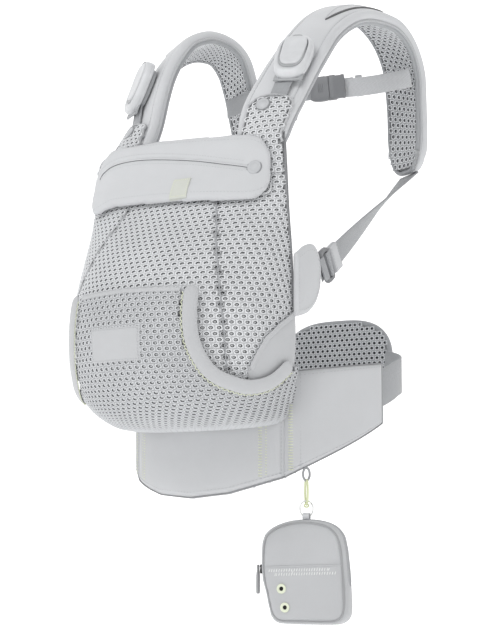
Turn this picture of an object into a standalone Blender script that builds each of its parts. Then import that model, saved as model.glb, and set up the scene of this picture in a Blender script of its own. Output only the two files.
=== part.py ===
"""Soft baby carrier: padded waist belt, bucket-shaped mesh body, folding head collar, padded shoulder
straps with magnetic buckles, a cross strap between the shoulder straps, and a pouch on a snap hook.

Shapes are worked out in millimetres about the vertical axis of the worn belt: +X is the wearer's left,
-Y the front, +Z up.  One empty then moves that axis so that the model's origin is the centre of the
belly pad's flat face.
"""

import math

import bmesh
import bpy
from mathutils import Matrix, Vector

MM = 0.001
SIDES = ((1, "left"), (-1, "right"))

# Waist belt, worn in a ring.
BELT_RADIUS = 147.0
BELT_LAYERS = {"cover": (0.0, -3.0), "foam": (-3.35, -9.0), "lining": (-9.35, -12.0)}
BELT_SEAM = 40.0
BELT_END = 88.0
BELT_BOTTOM = [(0, -95), (17, -91), (26, -85), (40, -75), (65, -45), (88, -17)]
BELT_TOP = [(0, 18), (40, 31), (88, 45)]
BELLY_FACE_Y = -112.0
BELLY_PAD = (120.0, 76.0)
BELLY_Z = -38.0
LUMBAR_PAD = (144.0, 108.0)
LUMBAR_Z = 57.0
LUMBAR_FACE_Y = 129.0
WAIST_WEBBING = 38.0
WAIST_RADIUS = 142.0
WAIST_LINE = [(88, 19), (105, 33), (150, 55)]
WEBBING_THICK = 1.8

# Body of the carrier, from the belt up to the collar:
# height at the middle, height at the side seams, half width, side seam Y, front Y.
BODY = [
    (-23, -16, 91, -118.5, -148.5),
    (-20, -8, 104, -124, -190),
    (-3, 10, 116, -131, -230),
    (29, 34, 124, -138, -252),
    (66, 68, 129, -143, -258),
    (105, 105, 129, -146, -251),
    (150, 150, 128, -148, -225),
    (192, 192, 126, -150, -191),
    (230, 230, 124, -150, -168),
    (276, 276, 120, -148, -158),
]
BODY_THICK = 6.0
BODY_TOP_Z = 262.0
SEAM = [(8, 0.56), (58, 0.545), (98, 0.515), (126, 0.474), (170, 0.384), (196, 0.32), (262, 0.25)]
SEAT_TOP = [(0, 105), (0.31, 104), (0.335, 66), (0.36, 47), (0.41, 31), (0.475, 18), (0.57, 11), (0.69, 8),
            (0.85, 16), (1.0, 36)]
SIDE_BOTTOM = [(0.56, 10), (0.68, 25), (0.725, 41), (0.78, 57), (0.88, 72), (1.0, 85)]
BINDING = [(0.37, 106), (0.37, 76), (0.384, 55), (0.42, 38), (0.475, 24), (0.565, 16), (0.67, 13), (0.80, 19),
           (0.93, 36)]
BINDING_WIDTH = 14.0
PATCH = (62.0, 34.0, -0.03, 53.0)
TAG = (0.085, 210.0)
COLLAR_MIDDLE = 236.0
COLLAR_HALF = 35.0
COLLAR_REACH = 0.73
COLLAR_TILT = -12.0
COLLAR_SNAP = 0.571
COLLAR_LAYERS = (12.0, 1.0)
COLLAR_FOLD = (-158.0, 270.0)

# Left shoulder strap, from its front lower end over the shoulder to its back lower end:
# inner edge Y, inner edge Z, outer edge X, outer edge Y, outer edge Z.
STRAP_INNER_X = 64.0
STRAP = {
    "left": [
        (-157, 268, 125, -150, 268),
        (-145, 305, 125, -127, 305),
        (-117, 342, 125, -100, 342),
        (-92, 370, 125, -78, 370),
        (-65, 398, 124, -52, 398),
        (-32, 425, 124, -23, 418),
        (5, 445, 124, 9, 431),
        (44, 455, 124, 46, 437),
        (83, 456, 124, 84, 436),
        (122, 442, 124, 115, 420),
        (150, 415, 123, 134, 392),
        (161, 378, 122, 139, 360),
        (165, 335, 122, 140, 322),
        (163, 279, 121, 138, 279),
    ],
    "right": [
        (-148, 268, 122, -134, 268),
        (-131, 303, 121, -104, 303),
        (-120, 338, 121, -87, 338),
        (-109, 366, 121, -73, 362),
        (-91, 393, 121, -55, 385),
        (-66, 417, 121, -30, 404),
        (-32, 432, 121, -4, 419),
        (0, 436, 122, 25, 428),
        (30, 432, 122, 55, 429),
        (52, 419, 122, 80, 415),
        (66, 396, 122, 96, 391),
        (78, 365, 122, 108, 358),
        (90, 330, 122, 118, 325),
        (98, 286, 122, 124, 286),
    ],
}
STRAP_CROWN = 4.0
STRAP_SHELL = (0.0, -10.0)
STRAP_LINING = (-11.2, -14.7)
BUCKLE_PLACE = {"left": (0.26, 2.22), "right": (0.0, 2.40)}
SNAP_ACROSS = {"left": -0.1, "right": 0.1}
TONGUE_REACH = {"left": (-0.62, 0.84), "right": (-0.7, 0.66)}
BUCKLE = (39.0, 62.0)
LOCK_CENTRE = (133.0, -92.0, 140.0)
CROSS_LEFT = (113.0, 113.5, 383.0)
CROSS_BEND = (-60.0, 49.0, 368.0)
CROSS_RIGHT = (-112.0, 72.0, 368.0)
CROSS_MOUTH = 0.5
CROSS_WIDTH = 22.0

# Pouch and the links that it hangs from.
HANG_ANGLE = 49.0
HANG_RADIUS = 145.5
POUCH_FACING = 14.0
HANG_Z = (-67.5, -78.5, -101.5, -115.0)
HOOK_WIDTH = 10.0
HOOK_GAP = (50.0, 122.0)
POUCH = (93.0, 104.0, 26.0)

GREY = (0.62, 0.63, 0.65, 1)
LIGHT = (0.72, 0.73, 0.74, 1)
DARK = (0.30, 0.31, 0.33, 1)
WEBBING = (0.40, 0.41, 0.42, 1)
ACCENT = (0.80, 0.84, 0.62, 1)
BLACK = (0.04, 0.04, 0.04, 1)


def material(name, colour, roughness=0.9, metallic=0.0):
    made = bpy.data.materials.new(name)
    made.use_nodes = True
    shader = made.node_tree.nodes["Principled BSDF"]
    shader.inputs["Base Color"].default_value = colour
    shader.inputs["Roughness"].default_value = roughness
    shader.inputs["Metallic"].default_value = metallic
    return made


def blend(stations, t):
    """Catmull-Rom value at t, counted in stations."""
    last = len(stations) - 1
    i = max(0, min(int(t), last - 1))
    f = t - i
    b, c = stations[i], stations[i + 1]
    a = stations[i - 1] if i else [2 * q - r for q, r in zip(b, c)]
    d = stations[i + 2] if i + 2 <= last else [2 * r - q for q, r in zip(b, c)]
    return [
        q + 0.5 * f * (r - p + f * (2 * p - 5 * q + 4 * r - s + f * (3 * (q - r) + s - p)))
        for p, q, r, s in zip(a, b, c, d)
    ]


def graph(points, x):
    """Height of a polyline of (x, height) points, the same on both sides of zero."""
    x = min(max(abs(x), points[0][0]), points[-1][0])
    for (x0, y0), (x1, y1) in zip(points, points[1:]):
        if x <= x1:
            return y0 + (y1 - y0) * (x - x0) / (x1 - x0)


def spread(low, high, count):
    return [low + (high - low) * i / (count - 1) for i in range(count)]


def shifted(surface, u, v, out, step=1e-3):
    """Point at a distance out from a surface(u, v) along its normal."""
    along = surface(u + step, v) - surface(u - step, v)
    up = surface(u, v + step) - surface(u, v - step)
    return surface(u, v) + along.cross(up).normalized() * out


def add(name, points, faces, paint, matrix=None, side=1, smooth=True):
    """Makes one closed object; side -1 mirrors it to the wearer's right."""
    matrix = matrix or Matrix.Identity(4)
    flip = Matrix.Diagonal((side, 1, 1, 1))
    matrix = flip @ matrix @ flip
    mesh = bpy.data.meshes.new(name)
    mesh.from_pydata([flip @ Vector(p) * MM for p in points], [], faces)
    shape = bmesh.new()
    shape.from_mesh(mesh)
    bmesh.ops.recalc_face_normals(shape, faces=shape.faces)
    if shape.calc_volume(signed=True) < 0:
        bmesh.ops.reverse_faces(shape, faces=shape.faces)
    shape.to_mesh(mesh)
    shape.free()
    if smooth:
        mesh.shade_smooth()
        mesh.set_sharp_from_angle(angle=math.radians(40))
    mesh.materials.append(paint)
    made = bpy.data.objects.new(name, mesh)
    bpy.context.scene.collection.objects.link(made)
    place = matrix.copy()
    place.translation = matrix.translation * MM
    made.parent = WORN_AXIS
    made.matrix_local = place
    return made


def slab(name, surface, columns, rows, layers, paint, side=1, centre=None):
    """Closed sheet between two offsets of a surface; rows(u) lists the v values of column u.

    The object's origin goes at the centre if one is given.
    """
    grid = [[(u, v) for v in rows(u)] for u in columns]
    wide, high = len(grid), len(grid[0])
    points = [shifted(surface, u, v, out) for out in layers for line in grid for u, v in line]
    matrix = Matrix.Translation(centre or (0, 0, 0))
    points = [p - matrix.translation for p in points]
    faces = []

    def at(layer, i, j):
        return layer * wide * high + i * high + j

    for i in range(wide - 1):
        for j in range(high - 1):
            corners = ((i, j), (i + 1, j), (i + 1, j + 1), (i, j + 1))
            faces.append([at(0, *c) for c in corners])
            faces.append([at(1, *c) for c in reversed(corners)])
    edge = [(i, 0) for i in range(wide)] + [(wide - 1, j) for j in range(1, high)]
    edge += [(i, high - 1) for i in range(wide - 2, -1, -1)] + [(0, j) for j in range(high - 2, 0, -1)]
    for a, b in zip(edge, edge[1:] + edge[:1]):
        faces.append([at(0, *a), at(1, *a), at(1, *b), at(0, *b)])
    return add(name, points, faces, paint, matrix, side)


def outline(width, height, level, power=3.2, count=20, centre=(0, 0)):
    """Rounded rectangle in a plane of constant local z."""
    ring = []
    for i in range(count):
        angle = 2 * math.pi * (i + 0.5) / count
        c, s = math.cos(angle), math.sin(angle)
        x = math.copysign(abs(c) ** (2 / power), c) * width / 2 + centre[0]
        y = math.copysign(abs(s) ** (2 / power), s) * height / 2 + centre[1]
        ring.append((x, y, level))
    return ring


def loft(name, rings, paint, matrix=None, side=1, closed=False):
    """Solid through rings of the same count: capped at both ends, or closed on itself."""
    count = len(rings[0])
    points = [p for ring in rings for p in ring]
    faces = [] if closed else [list(range(count))[::-1], [len(points) - count + i for i in range(count)]]
    pairs = list(zip(range(len(rings)), range(1, len(rings)))) + ([(len(rings) - 1, 0)] if closed else [])
    for a, b in pairs:
        for i in range(count):
            j = (i + 1) % count
            faces.append([a * count + i, a * count + j, b * count + j, b * count + i])
    return add(name, points, faces, paint, matrix, side)


def wire(name, path, section, paint, matrix, closed=True):
    """Section of (out, sideways) points carried along a path of (x, z) points in the local x-z plane."""
    rings = []
    last = len(path) - 1
    for i, (x, z) in enumerate(path):
        ahead = path[(i + 1) % len(path)] if closed else path[min(i + 1, last)]
        behind = path[i - 1] if closed else path[max(i - 1, 0)]
        run = Vector((ahead[0] - behind[0], 0, ahead[1] - behind[1])).normalized()
        rings.append([(x + run.z * out, sideways, z - run.x * out) for out, sideways in section])
    return loft(name, rings, paint, matrix, closed=closed)


def round_section(radius, count=8):
    turn = [2 * math.pi * k / count for k in range(count)]
    return [(radius * math.cos(a), radius * math.sin(a)) for a in turn]


def frame(origin, across, up):
    """Frame with x along across, z square to across and up, y nearest to up."""
    x = Vector(across).normalized()
    z = x.cross(Vector(up)).normalized()
    y = z.cross(x)
    made = Matrix((x, y, z)).transposed().to_4x4()
    made.translation = origin
    return made


def ring_point(angle, z, radius=BELT_RADIUS):
    turn = math.radians(angle)
    return Vector((radius * math.sin(turn), -radius * math.cos(turn), z))


def belt_point(angle, k):
    low, high = graph(BELT_BOTTOM, angle), graph(BELT_TOP, angle)
    return ring_point(angle, low + (high - low) * k)


def body_point(s, v):
    middle_z, side_z, half, side_y, front_y = blend(BODY, v)
    turn = s * math.pi / 2
    y = side_y - (side_y - front_y) * math.cos(turn)
    return Vector((half * math.sin(turn), y, middle_z + (side_z - middle_z) * s * s))


def body_station(z, s=0.0):
    """Station of the body surface at height z, on the line s."""
    low, high = 0.0, len(BODY) - 1.0
    for _ in range(40):
        middle = (low + high) / 2
        low, high = (middle, high) if body_point(s, middle).z < z else (low, middle)
    return low


def strap_surface(label):
    """Outer face of a shoulder strap: w runs from its inner to its outer edge, t along it in stations."""
    stations = STRAP[label]

    def point(w, t):
        inner_y, inner_z, outer_x, outer_y, outer_z = blend(stations, t)
        inner, outer = Vector((STRAP_INNER_X, inner_y, inner_z)), Vector((outer_x, outer_y, outer_z))
        ahead = blend(stations, t + 0.01)
        run = Vector((0, ahead[0] - inner_y, ahead[1] - inner_z))
        run += Vector((0, ahead[3] - outer_y, ahead[4] - outer_z))
        crown = (outer - inner).cross(run).normalized() * STRAP_CROWN * (1 - w * w)
        return inner.lerp(outer, (w + 1) / 2) + crown

    return point


def strap_frame(strap, w, t, out):
    """Frame on a shoulder strap: x across towards the arm, y up the strap, z away from the strap."""
    across = strap(w + 0.05, t) - strap(w - 0.05, t)
    up = strap(w, t + 0.05) - strap(w, t - 0.05)
    return frame(shifted(strap, w, t, out), across, up)


def make_belt(fabric, mesh_fabric, foam):
    def columns(low, high, step=8):
        return spread(low, high, round((high - low) / step) + 1)

    def rows(_):
        return spread(0, 1, 5)

    cover, core, lining = BELT_LAYERS["cover"], BELT_LAYERS["foam"], BELT_LAYERS["lining"]
    slab("belt_front_cover", belt_point, columns(-BELT_SEAM, BELT_SEAM), rows, cover, fabric)
    wing = columns(BELT_SEAM + 0.15, BELT_END)
    for side, label in SIDES:
        slab(f"belt_wing_{label}", belt_point, wing, rows, cover, fabric, side)
    whole = [-a for a in wing[::-1]] + columns(-BELT_SEAM, BELT_SEAM)[1:-1] + wing
    slab("belt_foam", belt_point, whole, rows, core, foam)
    slab("belt_lining", belt_point, whole, rows, lining, mesh_fabric)


def make_belly_pad(fabric):
    """Pad inside the front of the belt; its inner face is flat."""
    reach = BELT_RADIUS + BELT_LAYERS["lining"][1] - 0.9
    wide, high = BELLY_PAD
    rings = []
    for x in spread(-wide / 2, wide / 2, 9):
        back = -math.sqrt(reach**2 - x * x)
        low, top = BELLY_Z - high / 2, BELLY_Z + high / 2
        rings.append([(x, back, low), (x, BELLY_FACE_Y, low), (x, BELLY_FACE_Y, top), (x, back, top)])
    loft("belly_pad", rings, fabric)


def lumbar_outline(level_y, scale):
    wide, high = LUMBAR_PAD
    return [(x, level_y, y + LUMBAR_Z) for x, y, _ in outline(wide * scale, high * scale, 0, 3.0, 28)]


def make_lumbar(fabric, mesh_fabric):
    face = LUMBAR_FACE_Y
    pad = ((0, 0.82), (1.5, 0.95), (5, 1.0), (12, 1.0))
    loft("lumbar_pad", [lumbar_outline(face + y, scale) for y, scale in pad], mesh_fabric)
    cover = ((12.4, 1.0), (16, 0.99), (19, 0.93))
    loft("lumbar_cover", [lumbar_outline(face + y, scale) for y, scale in cover], fabric)


def ribbon(name, route, start_across, end_across, width, paint, side=1, steps=4):
    """Flat webbing through the points of a route, which may twist on its way."""
    route = [Vector(p) for p in route]
    first, last = Vector(start_across).normalized(), Vector(end_across).normalized()
    runs = len(route) - 1

    def surface(u, v):
        i = max(0, min(int(v), runs - 1))
        across = first.lerp(last, v / runs).normalized()
        return route[i].lerp(route[i + 1], v - i) + across * u * width / 2

    half = WEBBING_THICK / 2
    return slab(name, surface, (-1, 0, 1), lambda _: spread(0, runs, runs * steps + 1), (half, -half), paint, side)


def make_waist_webbing(webbing, plastic):
    """Webbing from the left wing to the lumbar pad, and from the pad to the buckle on the right."""
    half = WAIST_WEBBING / 2

    def curve(u, v):
        return ring_point(u, graph(WAIST_LINE, u) + v * half, WAIST_RADIUS)

    slab("waist_webbing_left", curve, spread(BELT_END + 0.3, 149, 9), lambda _: (-1, 0, 1), (0.9, -0.9), webbing)
    socket_end = ring_point(-BELT_END - 0.3, graph(WAIST_LINE, BELT_END), WAIST_RADIUS)
    pad_end = ring_point(-149, graph(WAIST_LINE, 149), WAIST_RADIUS)
    run = (pad_end - socket_end).normalized()
    up = Vector((0, 0, 1))
    across = (up - run * up.dot(run)).normalized()
    outward = across.cross(run)
    if outward.dot(socket_end) < 0:
        outward = -outward
    mouth = socket_end + run * 39 + outward * 2
    route = (mouth + run * 3 + outward * 8, pad_end + outward * 10 - run * 6)
    ribbon("waist_webbing_right", route, across, across, WAIST_WEBBING, webbing)
    release_buckle("waist_buckle", mouth, run, across, WAIST_WEBBING + 8, 58.0, 13.0, plastic)


def release_buckle(name, centre, run, across, width, length, thick, plastic):
    """Side-release buckle: a hollow socket, and a plug whose prong block sits inside it.

    The plug's origin is at the socket's mouth, and it pulls out along run.
    """
    toward = frame(centre, across, Vector(run).cross(Vector(across)))
    if toward.col[2].xyz.dot(Vector(run)) < 0:
        toward = frame(centre, -Vector(across), Vector(run).cross(Vector(across)))
    half = length / 2
    wall = 2.4
    inner = (width - 2 * wall, thick - 2 * wall)

    def ring(wide, high, level):
        return outline(wide, high, level, 5.0, 16)

    socket = [ring(width * 0.86, thick * 0.8, -half), ring(width, thick, -half * 0.7), ring(width, thick, -1)]
    socket += [ring(*inner, -1), ring(inner[0], inner[1], -half * 0.55)]
    loft(f"{name}_socket", socket, plastic, toward)
    prong = (inner[0] - 1.2, inner[1] - 1.2)
    plug = [ring(prong[0] * 0.8, prong[1], -half * 0.5), ring(*prong, -half * 0.2), ring(*prong, -0.4)]
    plug += [ring(width, thick, -0.4), ring(width, thick, half * 0.3), ring(width * 0.9, thick * 0.7, half * 0.75)]
    loft(f"{name}_plug", plug, plastic, toward)


def seam_line(v):
    return graph(SEAM, body_point(0, v)[2])


def front_point(u, v):
    return body_point(u * (seam_line(v) - 0.004), v)


def side_point(u, v):
    seam = seam_line(v) + 0.004
    return body_point(seam + (1 - seam) * u, v)


def side_start(u):
    """Station where column u of the side panel meets its curved lower edge."""
    low, high = 0.0, 8.0
    for _ in range(40):
        middle = (low + high) / 2
        seam = seam_line(middle) + 0.004
        edge = graph(SIDE_BOTTOM, seam + (1 - seam) * u)
        low, high = (middle, high) if side_point(u, middle).z < edge else (low, middle)
    return low


def make_body(mesh_fabric, fabric):
    top = body_station(BODY_TOP_Z)

    def side_rows(u):
        return spread(side_start(u), top, 13)

    def gusset_rows(s):
        low, high = body_station(1, s), body_station(graph(SIDE_BOTTOM, s) - 1.5, s)
        return spread(low, high, 5)

    def seat_rows(s):
        high = body_station(graph(SEAT_TOP, s), s)
        return [high * (k / 10) ** 1.15 for k in range(11)]

    def front_rows(_):
        return spread(body_station(10), top, 13)

    slab("body_panel", front_point, spread(-1, 1, 11), front_rows, (0, -BODY_THICK), mesh_fabric)
    for side, label in SIDES:
        slab(f"side_panel_{label}", side_point, spread(0, 1, 9), side_rows, (0, -BODY_THICK), mesh_fabric, side)
        slab(f"leg_gusset_{label}", body_point, spread(0.70, 1.0, 5), gusset_rows, (-0.5, -5), fabric, side)
    half = [0.0, 0.08, 0.16, 0.24, 0.31, 0.335, 0.36, 0.41, 0.475, 0.57, 0.69, 0.77, 0.85, 0.93, 1.0]
    slab("seat_panel", body_point, [-s for s in half[:0:-1]] + half, seat_rows, (4.8, 1.8), mesh_fabric)


def make_binding(fabric):
    """Smooth bands along the curved edges of the seat panel."""
    path = [(s, body_station(z, s)) for s, z in BINDING]
    last = len(path) - 1.0

    def surface(u, v):
        s, station = blend(path, v)
        ahead, behind = blend(path, min(v + 0.02, last)), blend(path, max(v - 0.02, 0))
        here = body_point(s, station)
        run = (body_point(*ahead) - body_point(*behind)).normalized()
        normal = (shifted(body_point, s, station, 1.0) - here).normalized()
        return here + run.cross(normal) * u * BINDING_WIDTH / 2

    for side, label in SIDES:
        slab(f"leg_binding_{label}", surface, (-1, 0, 1), lambda _: spread(0, last, 25), (8.6, 6.0), fabric, side)


def make_front_patch(fabric):
    wide, high, centre, height = PATCH
    reach = math.asin(wide / 2 / BODY[4][2]) / (math.pi / 2)

    def surface(u, v):
        return body_point(centre + u, body_station(height) + v)

    slab("front_patch", surface, spread(-reach, reach, 7), lambda _: spread(-0.43, 0.43, 5), (7.0, 5.4), fabric)


def make_collar(fabric, plastic, accent):
    """Head support, folded down over the top of the body; its origin is on the fold."""
    fold = Vector((0, *COLLAR_FOLD))

    def rows(s):
        past = max(0.0, (abs(s) / COLLAR_REACH - 0.62) / 0.38)
        reach = COLLAR_HALF * math.sqrt(1 - 0.94 * past**2.4)
        middle = COLLAR_MIDDLE + COLLAR_TILT * s
        return [body_station(middle + reach * k) for k in spread(-1, 1, 7)]

    columns = [COLLAR_REACH * k for k in (-1, -0.95, -0.88, -0.78, -0.62, -0.4, -0.2, 0)]
    columns += [-k for k in columns[-2::-1]]
    slab("head_collar", body_point, columns, rows, COLLAR_LAYERS, fabric, centre=fold)

    def near_tag(u, v):
        return body_point(TAG[0] + u, body_station(TAG[1]) + v)

    slab("collar_tag", near_tag, (-0.06, 0.0, 0.06), lambda _: spread(-0.36, 0.36, 4), (13.4, 12.4),
         accent, centre=fold)
    v = body_station(COLLAR_MIDDLE - 6)
    spot = shifted(body_point, COLLAR_SNAP, v, 12.9)
    across = body_point(COLLAR_SNAP + 0.01, v) - body_point(COLLAR_SNAP - 0.01, v)
    turn = frame(spot, across, body_point(COLLAR_SNAP, v + 0.05) - body_point(COLLAR_SNAP, v - 0.05))
    disc = [outline(15, 15, 0, 2, 16), outline(15, 15, 1.6, 2, 16), outline(12, 12, 2.4, 2, 16)]
    loft("collar_snap", disc, plastic, turn)


def make_strap(side, label, fabric, mesh_fabric, plastic, housing, webbing):
    strap = strap_surface(label)
    last = len(STRAP[label]) - 1.0

    def rows(w):
        past = max(0.0, (abs(w) - 0.3) / 0.7)
        return spread(0, last - 0.9 * (1 - math.sqrt(1 - 0.98 * past**2)), 31)

    columns = (-1, -0.8, -0.4, 0, 0.4, 0.8, 1)
    slab(f"strap_shell_{label}", strap, columns, rows, STRAP_SHELL, fabric, side)
    slab(f"strap_lining_{label}", strap, columns, rows, STRAP_LINING, mesh_fabric, side)

    low, high = TONGUE_REACH[label]
    middle = BUCKLE_PLACE[label][0]

    def tongue_rows(w):
        return spread(0.02, 1.12 - 0.3 * (w - (low + high) / 2) ** 2, 6)

    slab(f"strap_tongue_{label}", strap, spread(low, high, 6), tongue_rows, (4.4, 0.8), mesh_fabric, side)
    columns = spread(middle - 0.31, middle + 0.31, 4)
    slab(f"tongue_webbing_{label}", strap, columns, lambda _: spread(1.17, 1.9, 5), (2.4, 0.8), webbing, side)
    snap = strap_frame(strap, SNAP_ACROSS[label], 0.82, 5.2)
    loft(f"tongue_snap_{label}", [outline(14, 14, 0, 2, 16), outline(14, 14, 1.8, 2, 16),
                                  outline(9, 9, 3.0, 2, 16)], plastic, snap, side)

    base = strap_frame(strap, *BUCKLE_PLACE[label], 3.2)
    wide, high = BUCKLE
    loft(f"buckle_base_{label}", [outline(wide * 0.8, high * 0.72, 0, 2.6), outline(wide * 0.8, high * 0.72, 2, 2.6)],
         plastic, base, side)
    shell = [outline(wide, high, 2.4, 2.6), outline(wide, high, 8, 2.6), outline(wide * 0.9, high * 0.92, 12, 2.6)]
    centre = (0, 4)
    shell += [outline(29, 46, 12, 2.8, centre=centre), outline(29, 46, 6, 2.8, centre=centre)]
    loft(f"buckle_housing_{label}", shell, housing, base, side)
    button = [outline(28, 45, 8.6, 2.8, centre=centre), outline(28, 45, 13, 2.8, centre=centre)]
    button += [outline(25, 41, 14.4, 2.8, centre=centre)]
    loft(f"buckle_button_{label}", button, housing, base, side)


def make_side(side, label, fabric, webbing, plastic):
    """Wing on the side panel, its ladder lock, and the webbing up to the back of the strap."""
    wing = [(-145, 84), (-130, 88), (-116, 99), (-108, 114), (-106, 134), (-110, 151), (-119, 159), (-134, 153),
            (-145, 141)]
    rings = [[(x, y, z) for y, z in wing] for x in (131.5, 134.5, 137.5)]
    loft(f"side_wing_{label}", rings, fabric, None, side)
    lock = Vector(LOCK_CENTRE)
    strap, last = strap_surface(label), len(STRAP[label]) - 1.0
    down = (strap(0, last) - strap(0, last - 0.05)).normalized()
    end = shifted(strap, 0, last, -7.0) + down * 2.4
    run = (end - lock).normalized()
    plate = frame(lock, Vector((0, -0.5, 0.86)), run)
    rings = [outline(34, 20, -2, 5), outline(34, 20, 2, 5), outline(28, 13, 2, 5), outline(28, 13, -2, 5)]
    loft(f"ladder_lock_{label}", rings, plastic, plate, side, closed=True)
    across = plate.col[0].xyz
    ribbon(f"strap_webbing_{label}", (lock + run * 11.2, end), across, Vector((1, -0.4, 0)), 25, webbing, side, 14)


def make_cross_strap(webbing, plastic):
    """Strap between the shoulder straps across the upper back, with its buckle near the middle."""
    left, bend, right = Vector(CROSS_LEFT), Vector(CROSS_BEND), Vector(CROSS_RIGHT)
    run = (left - bend).normalized()
    up = Vector((0, 0, 1))
    across = (up - run * up.dot(run)).normalized()
    mouth = bend.lerp(left, CROSS_MOUTH)
    release_buckle("cross_buckle", mouth, run, across, CROSS_WIDTH + 7, 46.0, 9.0, plastic)
    behind = run.cross(across) * 5.8
    if behind.y < 0:
        behind = -behind
    ribbon("cross_webbing_left", (mouth + behind + run * 2, left + behind), across, across, CROSS_WIDTH, webbing)
    ribbon("cross_webbing_right", (right, bend, mouth - run * 23.4), across, across, CROSS_WIDTH, webbing)


def oval(wide, low, high, start=0.0, end=360.0, count=16):
    """Points of an upright oval link in the local x-z plane, or of the part between two angles from its top."""
    middle, half = (low + high) / 2, (high - low) / 2
    whole = end - start == 360
    turn = [math.radians(a) for a in spread(start, end, count + 1)][: count if whole else None]
    return [(wide / 2 * math.sin(a), middle + half * math.cos(a)) for a in turn]


def make_hanging_links(webbing, accent, across, outward, pouch_across, upright):
    """Cord loop, snap hook with its gate, and ring, each hung in the one above."""
    loop_top, loop_low, hook_low, ring_low = HANG_Z

    def hang(z, direction):
        return frame(ring_point(HANG_ANGLE, z, HANG_RADIUS), direction, upright.cross(direction))

    wire("belt_loop", oval(7, loop_low - loop_top, 1.8), round_section(1.0), webbing, hang(loop_top, across))
    low, top = hook_low - loop_low - 1.2, 3.2
    hook = oval(HOOK_WIDTH, low, top, HOOK_GAP[1], HOOK_GAP[0] + 360)
    wire("snap_hook", hook, round_section(0.95), accent, hang(loop_low, outward), closed=False)
    (top_x, top_z), *_, (low_x, low_z) = oval(HOOK_WIDTH, low, top, *HOOK_GAP)
    turn = math.degrees(math.atan2(top_x - low_x, top_z - low_z))
    hinge = hang(loop_low, outward) @ Matrix.Translation((low_x, 0, low_z)) @ Matrix.Rotation(
        math.radians(turn), 4, "Y")
    span = math.hypot(top_x - low_x, top_z - low_z)
    gate = [outline(1.5, 2.6, z, 2, 10) for z in (1.3, span / 2, span - 1.3)]
    loft("hook_gate", gate, accent, hinge)
    face = hang(hook_low, pouch_across)
    wire("pouch_ring", oval(14, ring_low - hook_low, 2.6, count=20), round_section(0.66), accent, face)
    band = [(0.45, -3.5), (0.45, 3.5), (-0.45, 3.5), (-0.45, -3.5)]
    tab = oval(4.6, ring_low - hook_low - 2.0, ring_low - hook_low + 3.6)
    wire("pouch_tab", tab, band, webbing, face @ Matrix.Rotation(math.pi / 2, 4, "Z"))
    return face


def make_pouch(fabric, metal, face):
    """Flat zipped pouch below the ring, with the zip's slider and puller on one side."""
    drop = HANG_Z[3] - HANG_Z[2] - 2.8
    wide, high, deep = POUCH
    middle = drop - high / 2
    shape = [(-deep / 2, 0.92), (-deep / 2 + 3, 1.0), (deep / 2 - 3, 1.0), (deep / 2, 0.92)]
    rings = []
    for y, scale in shape:
        rings.append([(x, -y, z + middle) for x, z, _ in outline(wide * scale, high * scale, 0, 3.4, 32)])
    loft("pouch_body", rings, fabric, face)
    slider = face @ Matrix.Translation((-wide / 2 - 3.3, 0, middle + 2.5))
    loft("zipper_slider", [outline(5, 8, level, 4, 12) for level in (-5.5, 5.5)], metal, slider)
    hinge = slider @ Matrix.Translation((-4.7, 0, 3.5))
    loft("zipper_puller", [outline(3.4, 5.5, level, 3, 12) for level in (0.8, -28.5)], metal, hinge)


for old in list(bpy.data.objects):
    bpy.data.objects.remove(old)

WORN_AXIS = bpy.data.objects.new("worn_axis", None)
WORN_AXIS.location = (0, -BELLY_FACE_Y * MM, -BELLY_Z * MM)
bpy.context.scene.collection.objects.link(WORN_AXIS)

smooth_fabric = material("smooth_fabric", GREY)
spacer_mesh = material("spacer_mesh", LIGHT)
lining_mesh = material("lining_mesh", DARK)
foam_core = material("foam_core", LIGHT)
tape = material("webbing", WEBBING)
buckle_plastic = material("buckle_plastic", WEBBING, 0.5)
housing_plastic = material("housing_plastic", LIGHT, 0.4)
accent_trim = material("accent_trim", ACCENT, 0.5)
black_metal = material("black_metal", BLACK, 0.4, 0.8)

make_belt(smooth_fabric, lining_mesh, foam_core)
make_belly_pad(lining_mesh)
make_lumbar(smooth_fabric, lining_mesh)
make_waist_webbing(tape, buckle_plastic)
make_body(spacer_mesh, smooth_fabric)
make_binding(smooth_fabric)
make_front_patch(smooth_fabric)
make_collar(smooth_fabric, housing_plastic, accent_trim)
for number, word in SIDES:
    make_strap(number, word, smooth_fabric, lining_mesh, buckle_plastic, housing_plastic, tape)
    make_side(number, word, smooth_fabric, tape, buckle_plastic)
make_cross_strap(tape, buckle_plastic)
tangent, radial = ring_point(HANG_ANGLE + 90, 0, 1), ring_point(HANG_ANGLE, 0, 1)
sideways = ring_point(POUCH_FACING + 90, 0, 1)
pouch_face = make_hanging_links(tape, accent_trim, tangent, radial, sideways, Vector((0, 0, 1)))
make_pouch(smooth_fabric, black_metal, pouch_face)
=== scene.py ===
"""Looks of the soft baby carrier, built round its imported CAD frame.

Shapes are worked out in millimetres about the vertical axis of the worn belt, from the same design
curves as the CAD part, and are moved to the part's frame, in metres, when each mesh is made.
"""

import math

import bmesh
import bpy
import numpy as np
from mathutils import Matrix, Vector
from mathutils.bvhtree import BVHTree


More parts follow.
